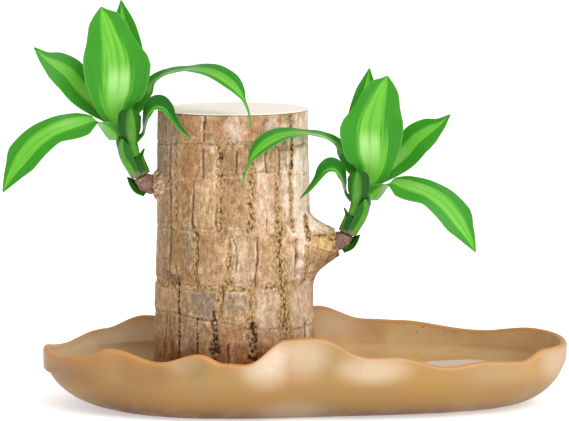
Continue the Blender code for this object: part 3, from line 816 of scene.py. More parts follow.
    def glaze(self, point: tuple[float, float, float], inner: float) -> list[float]:
        """Shares of the glaze's runs, pools, painted highlights and painted shade at a point, in the
        order of GLAZE_MARKS.

        Args:
            point: the point.
            inner: 0 on the outer side of the wall, more from the lip in.

        Returns:
            The shares.
        """
        x, y, height = point
        shares = dict.fromkeys(GLAZE_MARKS, 0.0)
        # painted shade: the glaze is darker toward the foot on the outer side
        low = self.painted_shade_strength - self.painted_shade_loss * ease((x - self.painted_shade_left) / 20.0)
        shares["low"] = low * ease(1.09 - height / self.painted_shade_height) * (1.0 - inner)
        front = ease(0.5 - y / self.end_depth) if inner < 0.5 else 0.0
        for runs, weight in ((FRONT_RUNS, front), (BACK_RUNS, 1.0 - front)):
            for run in runs:
                away = hypot((x - run.place) / run.half_width, (height - run.height) / run.half_height)
                share = weight * run.strength * ease(1.25 - 0.75 * away)
                shares[run.mark] = max(shares[run.mark], share)
        return list(shares.values())

    def column(self, turn: float) -> list[tuple[float, ...]]:
        """One column of the tray from the foot's middle up, over the lip and down to the floor.

        Args:
            turn: turn of the column.

        Returns:
            Points, each with its marks lip, inner and foot.
        """
        top = self.top(turn)
        shoulder = top - self.lip_drop
        x, y, _ = self.wall_point(turn, 0.0, 0.0)
        rows = [(x * share, y * share, rise, 0.0, 0.0, 1.0) for share, rise in (
            (0.25, self.foot_hollow), (0.5, self.foot_hollow), (0.75, self.foot_hollow),
            (0.94, self.foot_hollow), (0.985, self.foot_edge))]
        for i in range(self.outer_rows):
            height = shoulder * (i / (self.outer_rows - 1)) ** 1.3
            x, y, _ = self.wall_point(turn, height, 0.0)
            x, y = self.inset((x, y), -self.fold_reach(turn, height))
            near = ease(1.0 - (top - height) / self.lip_fade)
            rows.append((x, y, height, 0.35 * near, 0.0, ease(1.0 - height / self.clay_height)))
        x, y, _ = self.wall_point(turn, shoulder, 0.0)
        for i in range(1, self.lip_rows):
            bend = pi * i / self.lip_rows
            roll = self.fold_reach(turn, shoulder) * (1.0 - i / self.lip_rows)
            shell = 0.5 * self.wall * (1.0 - cos(bend)) - roll
            rows.append((*self.inset((x, y), shell), top - self.lip_drop * (1.0 - sin(bend)),
                         sin(bend), 0.3, 0.0))
        for i in range(self.inner_rows):
            part = (1.0 - i / (self.inner_rows - 1)) ** 1.4
            height = self.floor + (shoulder - self.floor) * part
            near = ease(1.0 - (top - height) / self.lip_fade)
            rows.append((*self.wall_point(turn, height, self.wall), 0.3 * near, 1.0, 0.0))
        x, y, _ = self.wall_point(turn, self.floor, self.wall)
        return rows + [(x * share, y * share, self.floor, 0.0, 1.0, 0.0)
                       for share in (0.9, 0.6, 0.3)]

    def build(self) -> Piece:
        """Mesh of the tray with the marks that its glaze reads.

        Returns:
            The piece.
        """
        rows = np.array([self.column(tau * i / self.columns) for i in range(self.columns)])
        rows = rows.transpose(1, 0, 2)
        glaze = [[self.glaze(spot[:3], spot[4]) for spot in row] for row in rows.tolist()]
        marks = dict(zip(("lip", "inner", "foot"), np.moveaxis(rows[..., 3:], -1, 0)))
        marks |= dict(zip(GLAZE_MARKS, np.moveaxis(np.array(glaze), -1, 0)))
        return Piece("dish", "tan_stoneware", *shut(rows[..., :3]), marks)


@dataclass(frozen=True)
class Water:
    """The tray's filling, which wets the wall and the log and climbs a little on both."""

    tray: Tray
    level: float = 29.0
    soak: float = 0.25  # the water reaches this far into the wall's glaze and the bark
    climb: float = 1.3
    climb_reach: float = 1.8
    columns: int = 240
    rows: int = 26
    wall_rows: int = 8

    def ring(self, turn: float, log: "Log") -> list[tuple[float, float, float]]:
        """One section of the water, from the wall over to the log, down it and back.

        Args:
            turn: turn of the section.
            log: the log that stands in the water.

        Returns:
            Its points.
        """
        tray = self.tray
        outer = tray.wall_point(turn, self.level + self.climb, tray.wall)
        outer = tray.inset(outer[:2], -self.soak)
        direction = atan2(outer[1], outer[0] - log.x)
        radius = log.mean_radius(self.level) - log.fissure_depth
        inner = (log.x + radius * cos(direction), radius * sin(direction))
        width = hypot(outer[0] - inner[0], outer[1] - inner[1])
        ring = []
        for k in range(self.rows):
            part = 0.5 - 0.5 * cos(pi * k / (self.rows - 1))
            near = min(part, 1.0 - part) * width
            rise = self.climb * np.exp(-max(near - 2.0 * self.soak, 0.0) / self.climb_reach)
            ring.append((outer[0] + (inner[0] - outer[0]) * part,
                         outer[1] + (inner[1] - outer[1]) * part, self.level + rise))
        base = tray.floor - self.soak
        ring.append((*inner, base))
        for k in range(self.wall_rows):
            part = (k / self.wall_rows) ** 2
            height = tray.floor + (self.level + self.climb - tray.floor) * part
            x, y, _ = tray.wall_point(turn, height, tray.wall)
            ring.append((*tray.inset((x, y), -self.soak), height if k else base))
        return ring

    def build(self, log: "Log") -> Piece:
        """Mesh of the water round the log.

        Args:
            log: the log that stands in it.

        Returns:
            The piece.
        """
        grid = np.array([self.ring(tau * i / self.columns, log) for i in range(self.columns)])
        rows, columns = grid.shape[:2]
        faces = np.array(ring_faces(rows + 1, columns)) % (rows * columns)
        return Piece("water", "water", grid.reshape(-1, 3), faces.tolist())


# Log


class Mark(Enum):
    """What fills a seam of the bark."""

    CORK = "cork"
    CRACK = "crack"
    PIT = "pit"


CORK, CRACK, PIT = Mark

SEAM_STRENGTHS = {CORK: 0.85, CRACK: 0.9, PIT: 1.0}

# Steps of a sine that give neighbouring plates unrelated shades
SEAM_STEP, SCAR_STEP = 12.9898, 78.233


@dataclass(frozen=True)
class Seam:
    """A seam that runs down the bark: height, direction round the log and half width."""

    mark: Mark
    path: Stations


@dataclass(frozen=True)
class Scar:
    """A leaf scar that rings the log: direction and height, with its half height."""

    path: Stations
    half_height: float
    cork: float


@dataclass(frozen=True)
class Stub:
    """A cut branch on the log, with a flat end that faces left or right."""

    side: int  # -1 left, 1 right
    reach: float
    front: float
    height: float
    radius: float
    flare_up: float
    flare_down: float
    flare_side: float


@dataclass(frozen=True)
class Groove:
    """A groove on the right stub: its mark, its ends as X and height, and half width."""

    mark: Mark
    start: tuple[float, float]
    end: tuple[float, float]
    half_width: float


LEFT_STUB = Stub(-1, 51.6, 12.0, 146.3, 8.0, 4.0, 9.0, 6.0)
RIGHT_STUB = Stub(1, 66.4, 13.0, 109.2, 8.8, 13.0, 27.0, 13.0)

FAR = 1e3  # distance from a stub that faces the other way

GROOVES = [Groove(*row) for row in (
    (PIT, (0, 128.7), (0.6, 120.9), 0.7),
    (PIT, (0.6, 120.9), (2.2, 112.4), 1),
    (CORK, (0.6, 107.8), (0.3, 89.5), 1.7),
    (CORK, (0, 126), (1.8, 112), 2),
    (CORK, (3.9, 113.7), (15.7, 115.3), 1.1),
    (PIT, (9.2, 124.4), (17, 119.4), 2),
    (CRACK, (4.2, 107.8), (14.1, 104.2), 0.3),
    (CRACK, (10.6, 97.6), (15.7, 104.2), 0.25),
    (CORK, (0.3, 90.2), (6.7, 89.9), 0.8),
    (CORK, (-3.5, 83), (0.3, 87.6), 0.8),
)]

SEAMS = [Seam(mark, path) for mark, *path in (
    (CRACK, (190, 191, 0.5), (72, 192, 0.6)),
    (CRACK, (175, 215, 0.9), (120, 216, 0.8), (86, 214, 1)),
    (CORK, (175, 222, 1.5), (121, 223, 1.7)),
    (PIT, (92, 223, 1.6), (82, 225, 1.8), (60, 226.5, 1.2), (30, 227, 1.4)),
    (CRACK, (150, 240, 0.6), (121, 239.5, 0.9)),
    (CORK, (120, 241, 2), (84, 242.5, 1.8)),
    (CRACK, (118, 243.5, 0.6), (84, 244, 0.6)),
    (PIT, (63, 243, 0.7), (30, 243.5, 1.3)),
    (CRACK, (172, 247, 0.5), (154, 247.5, 0.6)),
    (PIT, (193, 249, 0.7), (177, 248, 0.5)),
    (CORK, (176, 259.5, 2), (158, 261.5, 2.2)),
    (CORK, (157, 261, 2.2), (121, 260.5, 2.4)),
    (CRACK, (140, 258.5, 0.5), (123, 258, 0.8)),
    (CORK, (116, 268, 0.6), (100, 267, 3), (84, 267, 3.4)),
    (CRACK, (117, 270, 0.4), (110, 273, 0.5), (93, 273.5, 0.4)),
    (CORK, (82, 261.5, 2.2), (64, 261, 2.2)),
    (CRACK, (82, 263.5, 0.5), (66, 263, 0.6)),
    (PIT, (68, 256.5, 1.4), (52, 257.5, 3.8), (28, 258, 4.2)),
    (CRACK, (47, 267, 0.5), (28, 267, 0.7)),
    (CRACK, (171, 274, 0.7), (157, 273.5, 0.6)),
    (CORK, (172, 284, 1), (150, 285, 2.8), (121, 284, 3.2)),
    (CRACK, (116, 289, 0.6), (84, 287.5, 0.8)),
    (CORK, (83, 284, 2.4), (57, 284, 2.8)),
    (PIT, (60, 285.5, 2.2), (48, 285.5, 5.6), (28, 285, 5.8)),
    (CRACK, (171, 296, 0.5), (157, 296, 0.5)),
    (CRACK, (134, 296, 0.3), (119, 296.5, 0.5)),
    (CRACK, (173, 308, 0.7), (155, 308, 0.6)),
    (CORK, (155, 304.5, 0.6), (138, 306, 2.4), (119, 307, 4.2)),
    (CORK, (119, 308, 4.8), (84, 308.5, 5.2), (47, 311, 4.8)),
    (PIT, (118, 308.5, 0.5), (96, 308, 0.6), (50, 312, 0.5)),
    (CORK, (192, 320, 1.6), (172, 321.5, 2.6), (150, 319, 2.6), (118, 321, 2.4)),
    (PIT, (178, 322, 1.4), (158, 321.5, 1.4)),
    (CRACK, (113, 321.5, 0.6), (88, 321.5, 0.6)),
    (CRACK, (57, 333, 0.9), (40, 333, 1)),
    (CRACK, (190, 338, 0.4), (112, 338, 0.5)),
    (PIT, (136, 346, 0.9), (112, 349, 1.1), (88, 347, 0.6)),
    (CRACK, (62, 204, 0.6), (34, 204.5, 0.8)),
    (CRACK, (62, 212, 0.6), (34, 212, 0.8)),
    (CORK, (184, 12, 1.6), (50, 12, 2.4)),
    (CRACK, (110, 26, 0.8), (24, 27, 1.4)),
    (CORK, (122, 36, 2), (28, 34, 3.6)),
    (CRACK, (190, 47, 0.6), (120, 48, 0.8)),
    (CORK, (186, 60, 2.2), (24, 60, 3.4)),
    (CRACK, (148, 74, 0.7), (84, 73, 0.8)),
    (CRACK, (100, 85, 1.6), (24, 84, 2.2)),
    (CORK, (190, 102, 1.8), (58, 103, 3)),
    (CRACK, (84, 116, 0.8), (24, 117, 1.4)),
    (CORK, (150, 128, 1.8), (24, 128, 3.4)),
    (CRACK, (190, 138, 0.6), (118, 139, 0.8)),
    (CORK, (182, 151, 1.6), (30, 150, 3)),
    (CRACK, (118, 163, 0.7), (24, 164, 1.2)),
    (CORK, (112, 176, 1.6), (24, 176, 2.6)),
)]

SCARS = (
    Scar(((0, 173), (100, 175), (200, 174), (245, 176.5), (286, 176),
          (298, 173), (325, 172.5), (360, 173)), 1.3, 0.75),
    Scar(((0, 152), (120, 147), (190, 141), (212, 147.5), (240, 151),
          (262, 156.5), (300, 157), (322, 155), (360, 152)), 0.8, 0.45),
    Scar(((0, 108), (60, 112), (150, 118), (212, 119.5), (240, 121),
          (288, 121), (295, 118), (304, 114), (318, 112), (349, 108.5),
          (360, 108)), 1.1, 0.7),
    Scar(((0, 92), (70, 88), (160, 84), (205, 82), (225, 82.5), (284, 83),
          (306, 84.5), (324, 85), (340, 89), (360, 92)), 1.9, 0.95),
    Scar(((0, 54), (90, 58), (180, 62), (200, 64), (222, 65.5), (243, 63),
          (262, 61), (283, 57), (304, 56), (350, 54), (360, 54)), 0.8, 0.45),
)

# Bark patches by direction round the log. Pale patches on the right side, from 296 to 348, are painted
# light where the log faces the lamp, partly paler plates; tint patches at 205 and 230 are painted
# shade on the left side.
PATCHES = [Patch(*row) for row in (
    ("tint", 230, 128, 16, 70, -0.4), ("tint", 205, 150, 12, 60, -0.15),
    ("tint", 276, 102, 11, 20, 0.28), ("tint", 250, 100, 9, 18, -0.15),
    ("tint", 272, 140, 10, 18, 0.05), ("pale", 272, 184, 6, 9, 0.45),
    ("pale", 302, 182, 6, 9, 0.45), ("red", 286, 186, 8, 9, 0.4), ("red", 262, 185, 4, 8, 0.4),
    ("grey", 297, 186, 4, 7, 0.8), ("grey", 318, 186, 3, 9, 0.8), ("red", 238, 186, 7, 8, 0.25),
    ("grey", 212, 180, 11, 18, 0.75), ("red", 240, 160, 8, 9, 0.2), ("grey", 234, 108, 4, 11, 0.75),
    ("grey", 248, 72, 11, 7.5, 0.85), ("grey", 272, 73, 9, 7.5, 0.6),
    ("pale", 276, 100, 9, 17, 0.22), ("pale", 296, 70, 9, 12, 0.3), ("red", 273, 49, 11, 9, 0.3),
    ("grey", 202, 135, 10, 52, 0.5), ("grey", 236, 48, 5, 9, 0.5), ("pit", 219, 87, 8, 6, 0.5),
    ("pit", 268, 178, 8, 3.5, 0.45), ("pit", 304, 183, 4, 7, 0.42),
    ("pit", 216, 106, 2.5, 16, 0.42), ("pale", 330, 150, 13, 46, 0.95),
    ("pale", 348, 160, 16, 34, 0.85), ("pale", 296, 140, 9, 20, 0.3),
    ("pale", 324, 98, 9, 14, 0.35), ("gold", 318, 108, 6, 8, 0.5), ("pale", 330, 70, 12, 18, 0.35),
    ("pale", 313, 142, 4, 18, 0.6), ("pale", 337, 123, 6, 6, 0.5), ("pit", 212, 150, 2, 2, 0.6),
    ("pit", 262, 167, 1.8, 2.6, 0.7), ("red", 60, 170, 20, 14, 0.4),
    ("grey", 110, 120, 18, 20, 0.6), ("pale", 40, 90, 14, 22, 0.4), ("grey", 150, 60, 14, 14, 0.5),
)]


@dataclass
class Bark:
    """The log's surface, row by row: its places, random values and marks."""

    angle: np.ndarray
    height: np.ndarray
    radius: np.ndarray
    wander: np.ndarray  # shift of the seams round the log, in millimetres
    waver: np.ndarray  # shift of the leaf scars up or down, in millimetres
    broken: np.ndarray  # widens and closes seams and scars
    uneven: np.ndarray  # roughens the edges of patches and stubs
    grit: np.ndarray  # splits the pits
    marks: dict[str, np.ndarray]

    def add(self, mark: str, values: np.ndarray) -> None:
        """Raise a mark to these values where it is lower."""
        self.marks[mark] = np.maximum(self.marks[mark], values)


@dataclass(frozen=True)
class Log:
    """Cut log of brazilian wood: bark plates between seams and leaf scars, and two stubs."""

    x: float = -47.0
    top_radius: float = 48.6
    foot_radius: float = 51.2
    low: float = 7.3
    high: float = 193.6
    floor: float = 7.0
    columns: int = 380
    rows: int = 250
    lump_depth: float = 0.7
    lumps_round: int = 3
    lump_twist: float = 1.2
    lump_period: float = 185.0
    lump_phase: float = 1.0
    fissure_depth: float = 1.3
    pit_depth: float = 1.2
    cork_depth: float = 0.9
    tint_depth: float = 1.1
    swell: float = 2.3
    swell_top: float = 104.0
    foot_swell: float = 0.9
    foot_swell_top: float = 70.0
    spur: float = 2.8  # how far the right stub's lower end stands out
    spur_top: float = 110.0
    spur_foot: float = 84.0
    golden_top: float = 119.0
    lump_mm: float = 3.4
    seam_pits: float = 0.41  # strength of the pits in the cork of a seam
    seam_shade: float = 0.2
    scar_shade: float = 0.14
    water_level: float = 29.0
    wet_height: float = 5.0  # the bark is soaked this far above the water, then fades
    wet_fade: float = 26.0
    wet_side: float = 235.0  # direction of the side that is wetter

    def mean_radius(self, height: np.ndarray | float) -> np.ndarray | float:
        """Radius of the log without its bark relief."""
        part = (height - self.floor) / (self.high - self.floor)
        return self.foot_radius + (self.top_radius - self.foot_radius) * part

    def stub_part(self, stub: Stub, bark: Bark) -> tuple[np.ndarray, np.ndarray]:
        """How far the surface has risen to a stub's end face, and the distance from its axis.

        Args:
            stub: the stub.
            bark: the surface.

        Returns:
            The part, 0 for none of the rise and 1 for all of it, and the distance.
        """
        across = bark.radius * np.sin(np.radians(bark.angle)) + stub.front
        up = bark.height - stub.height
        away = np.hypot(across, up)
        vertical = np.where(up > 0.0, stub.flare_up, stub.flare_down)
        share = up * up / np.maximum(away * away, 1e-9)
        flare = vertical * share + stub.flare_side * (1.0 - share)
        part = np.maximum(0.0, 1.0 - np.maximum(away - stub.radius, 0.0) / flare) ** 2
        facing = np.cos(np.radians(bark.angle)) * stub.side > 0.0
        return np.where(facing, part, 0.0), np.where(facing, away, FAR)

    def seam_marks(self, bark: Bark) -> None:
        """Add the seams to the marks, and shade the plates between them.

        Args:
            bark: the surface.
        """
        marks, height = bark.marks, bark.height
        rough = 0.6 + 0.6 * bark.broken
        for number, seam in enumerate(SEAMS):
            heights, ways, widths = np.array(sorted(seam.path)).T
            width = np.interp(height, heights, widths) * (1.0 + 0.55 * bark.broken)
            turn = turn_between(bark.angle, np.interp(height, heights, ways))
            across = turn * (radians(1.0) * self.foot_radius) + bark.wander
            beyond = np.maximum(0.0, np.maximum(heights[0] - height, height - heights[-1]))
            away = np.hypot(across, beyond * 1.4)
            fade = 1.3 if seam.mark is CORK else 0.9
            mark = np.clip(1.2 - away / (fade * width + 0.2), 0.0, 1.0)
            if seam.mark is PIT:
                mark = mark * np.clip(0.9 + 1.6 * bark.grit, 0.3, 1.0)
            if seam.mark is CORK:
                bark.add("pit", self.seam_pits * mark)
            bark.add(seam.mark.value, mark * SEAM_STRENGTHS[seam.mark])
            # painted highlight: a pale line along the seam's raised edges, stronger on one side
            border = np.exp(-((away - 1.1 * width - 0.7) / 0.45) ** 2 - beyond / 2.0)
            bark.add("edge", border * np.where(across > 0.0, 0.2, 0.42) * rough)
            shade = np.tanh(across / 0.7) * np.exp(-(across / 13.0) ** 2 - beyond / 4.0)
            marks["tint"] = marks["tint"] + self.seam_shade * sin(SEAM_STEP * number) * shade

    def scar_marks(self, bark: Bark) -> None:
        """Add the leaf scars to the marks, and shade the plates between them.

        Args:
            bark: the surface.
        """
        marks = bark.marks
        step = 2.4 * (marks["tint"] - 0.5)
        for number, scar in enumerate(SCARS):
            ways, heights = np.array(scar.path).T
            above = bark.height - np.interp(bark.angle, ways, heights) - bark.waver - step
            half = scar.half_height * (1.0 + 0.6 * bark.broken)
            band = np.clip(1.2 - np.abs(above) / half, 0.0, 1.0) * scar.cork
            bark.add("cork", band * (0.75 + 0.35 * bark.broken))
            line = np.clip(1.1 - np.abs(above + 0.8 * scar.half_height) / 0.6, 0.0, 1.0)
            bark.add("crack", line * (0.36 + 0.3 * bark.broken))
            # painted highlight: a pale line along the scar's raised edges
            border = np.exp(-((np.abs(above) - scar.half_height - 0.9) / 0.5) ** 2)
            bark.add("edge", 0.28 * border * (0.6 + 0.6 * bark.broken))
            shade = np.tanh(above / 0.7) * np.exp(-(above / 12.0) ** 2)
            tone = self.scar_shade * sin(SCAR_STEP * (number + 1.0))
            marks["tint"] = marks["tint"] + tone * shade

    def patch_marks(self, bark: Bark) -> None:
        """Add the patches to the marks.

        Args:
            bark: the surface.
        """
        arc = radians(1.0) * self.foot_radius
        for patch in PATCHES:
            across = turn_between(bark.angle, patch.place) * arc / patch.half_width
            up = (bark.height - patch.height) / patch.half_height
            inside = ease(1.6 - np.hypot(across, up) + 0.7 * bark.uneven)
            if patch.mark == "tint":
                bark.marks["tint"] = bark.marks["tint"] + patch.strength * inside
            else:
                bark.add(patch.mark, patch.strength * inside)

    def blank_bark(self) -> Bark:
        """Places and random values of the surface, with marks of 0.

        Returns:
            The surface.
        """
        levels = np.linspace(self.low, self.high, self.rows)
        turns = 360.0 * np.arange(self.columns) / self.columns
        height, angle = np.meshgrid(levels, turns, indexing="ij")
        radius = self.mean_radius(height)
        spots = np.stack((radius * np.cos(np.radians(angle)), radius * np.sin(np.radians(angle)),
                          height), axis=-1)
        marks = {name: np.zeros_like(angle) for name in (
            "cork", "crack", "pit", "edge", "pale", "red", "grey", "gold", "wet")}
        return Bark(
            angle, height, radius,
            wander=0.8 * rough_field(spots, 16.0, 3, 3.0) + 0.35 * rough_field(spots, 3.0, 2, 53.0),
            waver=0.8 * rough_field(spots, 9.0, 3, 17.0),
            broken=np.clip(1.6 * rough_field(spots, 8.0, 2, 71.0), -1.0, 1.0),
            uneven=rough_field(spots, 7.0, 3, 29.0), grit=rough_field(spots, 2.2, 2, 41.0),
            marks=marks | {"tint": np.full_like(angle, 0.5)})

    def surface(self) -> tuple[np.ndarray, dict[str, np.ndarray]]:
        """Bark surface, row by row, with the marks that its finish reads.

        Returns:
            Points and marks.
        """
        bark = self.blank_bark()
        marks, height = bark.marks, bark.height
        c, s = np.cos(np.radians(bark.angle)), np.sin(np.radians(bark.angle))
        self.seam_marks(bark)
        self.scar_marks(bark)
        stubs = [self.stub_part(stub, bark) for stub in (LEFT_STUB, RIGHT_STUB)]
        plain = 1.0 - ease(stubs[1][0] * 8.0 - 0.6)
        for name in ("cork", "crack", "edge", "pit"):
            marks[name] *= plain
        self.patch_marks(bark)
        over = height - self.water_level - self.wet_height
        wetter = np.cos(np.radians(bark.angle - self.wet_side)) > 0.0
        marks["wet"] = ease(1.0 - over / self.wet_fade + 0.3 * bark.uneven)
        marks["wet"] *= np.where(wetter, 1.0, 0.75)
        relief = self.lump_depth * np.sin(np.radians(self.lumps_round * bark.angle
                                                     + self.lump_twist * height))
        relief = relief * np.cos(tau * height / self.lump_period + self.lump_phase)
        relief += self.tint_depth * (marks["tint"] - 0.5) + 0.35
        relief -= self.cork_depth * marks["cork"] - 0.5 * bark.grit * (marks["cork"] > 0.3)
        relief -= self.fissure_depth * marks["crack"] + self.pit_depth * marks["pit"]
        relief += 0.22 * bark.uneven + 0.12 * bark.grit + 0.3 * marks["edge"]
        relief += self.swell * np.maximum(c, 0.0) * ease((self.swell_top - height) / 26.0)
        relief += self.foot_swell * ease((self.foot_swell_top - height) / 60.0)
        radius = bark.radius + relief * (1.0 - 0.75 * np.maximum(stubs[0][0], stubs[1][0]))
        for stub, (share, _) in zip((LEFT_STUB, RIGHT_STUB), stubs):
            reach = stub.reach / np.maximum(np.abs(c), 0.2)
            radius = radius + (reach - radius) * share
        points = np.stack((self.x + radius * c, radius * s, height), axis=-1)
        return self.rough_stubs(points, stubs, bark), marks

    def rough_stubs(self, points: np.ndarray, stubs: list, bark: Bark) -> np.ndarray:
        """Dry lumps over the left stub, plates and grooves on the right one.

        Args:
            points: smooth points of the bark.
            stubs: for each stub, the part of its rise and the distance from its axis.
            bark: the surface, whose marks they change.

        Returns:
            The points with the lumps.
        """
        (left, left_away), (right, right_away) = stubs
        marks, uneven, near = bark.marks, bark.uneven, right_away < 0.1 * FAR
        inside, own = cells(points, self.lump_mm, 7.0)
        lumpy = ease(left * 6.0 - 0.3)
        bark.add("pale", lumpy * (0.35 + 0.4 * own) * inside)
        bark.add("crack", lumpy * (0.75 - 1.5 * inside))
        bark.add("gold", 0.3 * lumpy)
        bark.add("grey", 0.3 * lumpy)
        x, z = points[..., 0], points[..., 2]
        end = ease((RIGHT_STUB.radius + 2.0 - right_away) / 3.0 + 0.4 * uneven)
        end = np.maximum(end, ease((x - 13.0) / 3.5 + 0.6 * uneven) * near)
        bark.add("cork", 0.6 * end)
        bark.add("crack", end * (0.7 - 1.3 * inside))
        golden = ease(right * 5.0 - 1.0) * ease((self.golden_top - z) / 4.0)
        lower = ease(right * 8.0) * ease((107.8 - 0.364 * (x - 4.2) - z) / 1.5 + 0.5)
        marks["pale"] *= 1.0 - golden
        bark.add("gold", 0.62 * golden * (1.0 - 0.75 * lower))
        marks["tint"] -= 0.25 * lower
        for groove in GROOVES:
            run = np.array(groove.end) - groove.start
            spot = points[..., (0, 2)] - groove.start
            part = np.clip(spot @ run / (run @ run), 0.0, 1.0)
            away = np.hypot(*np.moveaxis(spot - part[..., None] * run, -1, 0)) + 0.5 * uneven
            band = np.clip(1.25 - away / (groove.half_width + 0.2), 0.0, 1.0)
            if groove.mark is PIT:
                band = band * np.clip(0.75 + 1.8 * bark.grit, 0.1, 1.0)
            bark.add(groove.mark.value, band * near)
        out = points - np.array((self.x, 0.0, 0.0))
        out[..., 2] = 0.0
        lift = (1.5 * inside - 1.0) * np.maximum(0.5 * lumpy * (left_away < 12.5), 0.4 * end)
        spur = self.spur * ease(2.2 * right) * ease((self.spur_top - z) / 8.0)
        spur *= ease((z - self.spur_foot) / 16.0)
        return points + unit(out) * (lift + spur)[..., None]

    def build(self) -> Piece:
        """Mesh of the log."""
        grid, marks = self.surface()
        return Piece("trunk", "dracaena_bark", *shut(grid), marks)

    def edge(self, trunk: Piece) -> np.ndarray:
        """Outline of the log's top edge, about its axis."""
        return trunk.points.reshape(self.rows, self.columns, 3)[-1, :, :2] - (self.x, 0.0)


@dataclass(frozen=True)
class WaxSeal:
    """Thin wax coat on the log's cut top, brushed out to the bark and a little over it."""

    log: Log
    gap: float = 0.3
    thickness: float = 1.1
    # Share of the thickness, and how far each ring of the rounded edge stands in
    section: Stations = ((0.0, 0.55), (0.35, 0.15), (0.7, 0.35), (0.93, 0.9), (1.0, 1.8))
    rings: int = 14

    def build(self, outline: np.ndarray) -> Piece:
        """Mesh of the coat.

        Args:
            outline: outline of the log's top edge, about its axis.

        Returns:
            The piece.
        """
        base = self.log.high + self.gap
        reach = np.linalg.norm(outline, axis=1, keepdims=True)
        steps = [(outline * (1.0 - step / reach), rise) for rise, step in self.section]
        flat = outline * (1.0 - self.section[-1][1] / reach)
        steps += [(flat * (1.0 - i / self.rings) ** 0.8, 1.0) for i in range(1, self.rings)]
        grid = np.array([np.column_stack((plan, np.full(len(plan), base + rise * self.thickness)))
                         for plan, rise in steps])
        rim = [0.8 * ease(1.2 - rise) for rise, _ in self.section] + [0.0] * (self.rings - 1)
        top = grid[len(self.section) - 1:]
        top[:, :, 2] += 0.12 * rough_field(top, 14.0, 2, 5.0) - 0.1
        grid[:, :, 0] += self.log.x
        marks = {"rim": np.repeat(rim, len(outline))}
        return Piece("wax_seal", "sealing_wax", *shut(grid), marks)


# Sprouts


FRONTWARD = np.array((0.0, 1.0, 0.0))  # in a sprout's own coordinates


@dataclass(frozen=True)
class Leaf:
    """One leaf of a sprout: a sheath that clasps the stem, then a free blade.

    path holds points of the blade's midrib: outward, frontward, upward, half width, and the
    turn of its upper side toward the front. Its origin is the centre of the collar's seat.
    """

    name: str
    root: float  # height of the sheath's foot along the stem
    sheath: float  # length of the sheath, 0 where the leaf has none
    azimuth: float  # direction of the midrib: 0 outward, 90 front, 180 toward the log
    clasp: float  # half angle of the sheath round the stem
    radius: float  # radius of the sheath's middle surface at its foot
    lift: float  # radius that the sheath gains for each millimetre of its length
    path: Stations
    cup: float  # half angle of the blade's hollow
    inward: bool  # the blade leans over the log
    wave: float  # height of the margin's waves
    waves: float  # number of waves along the blade


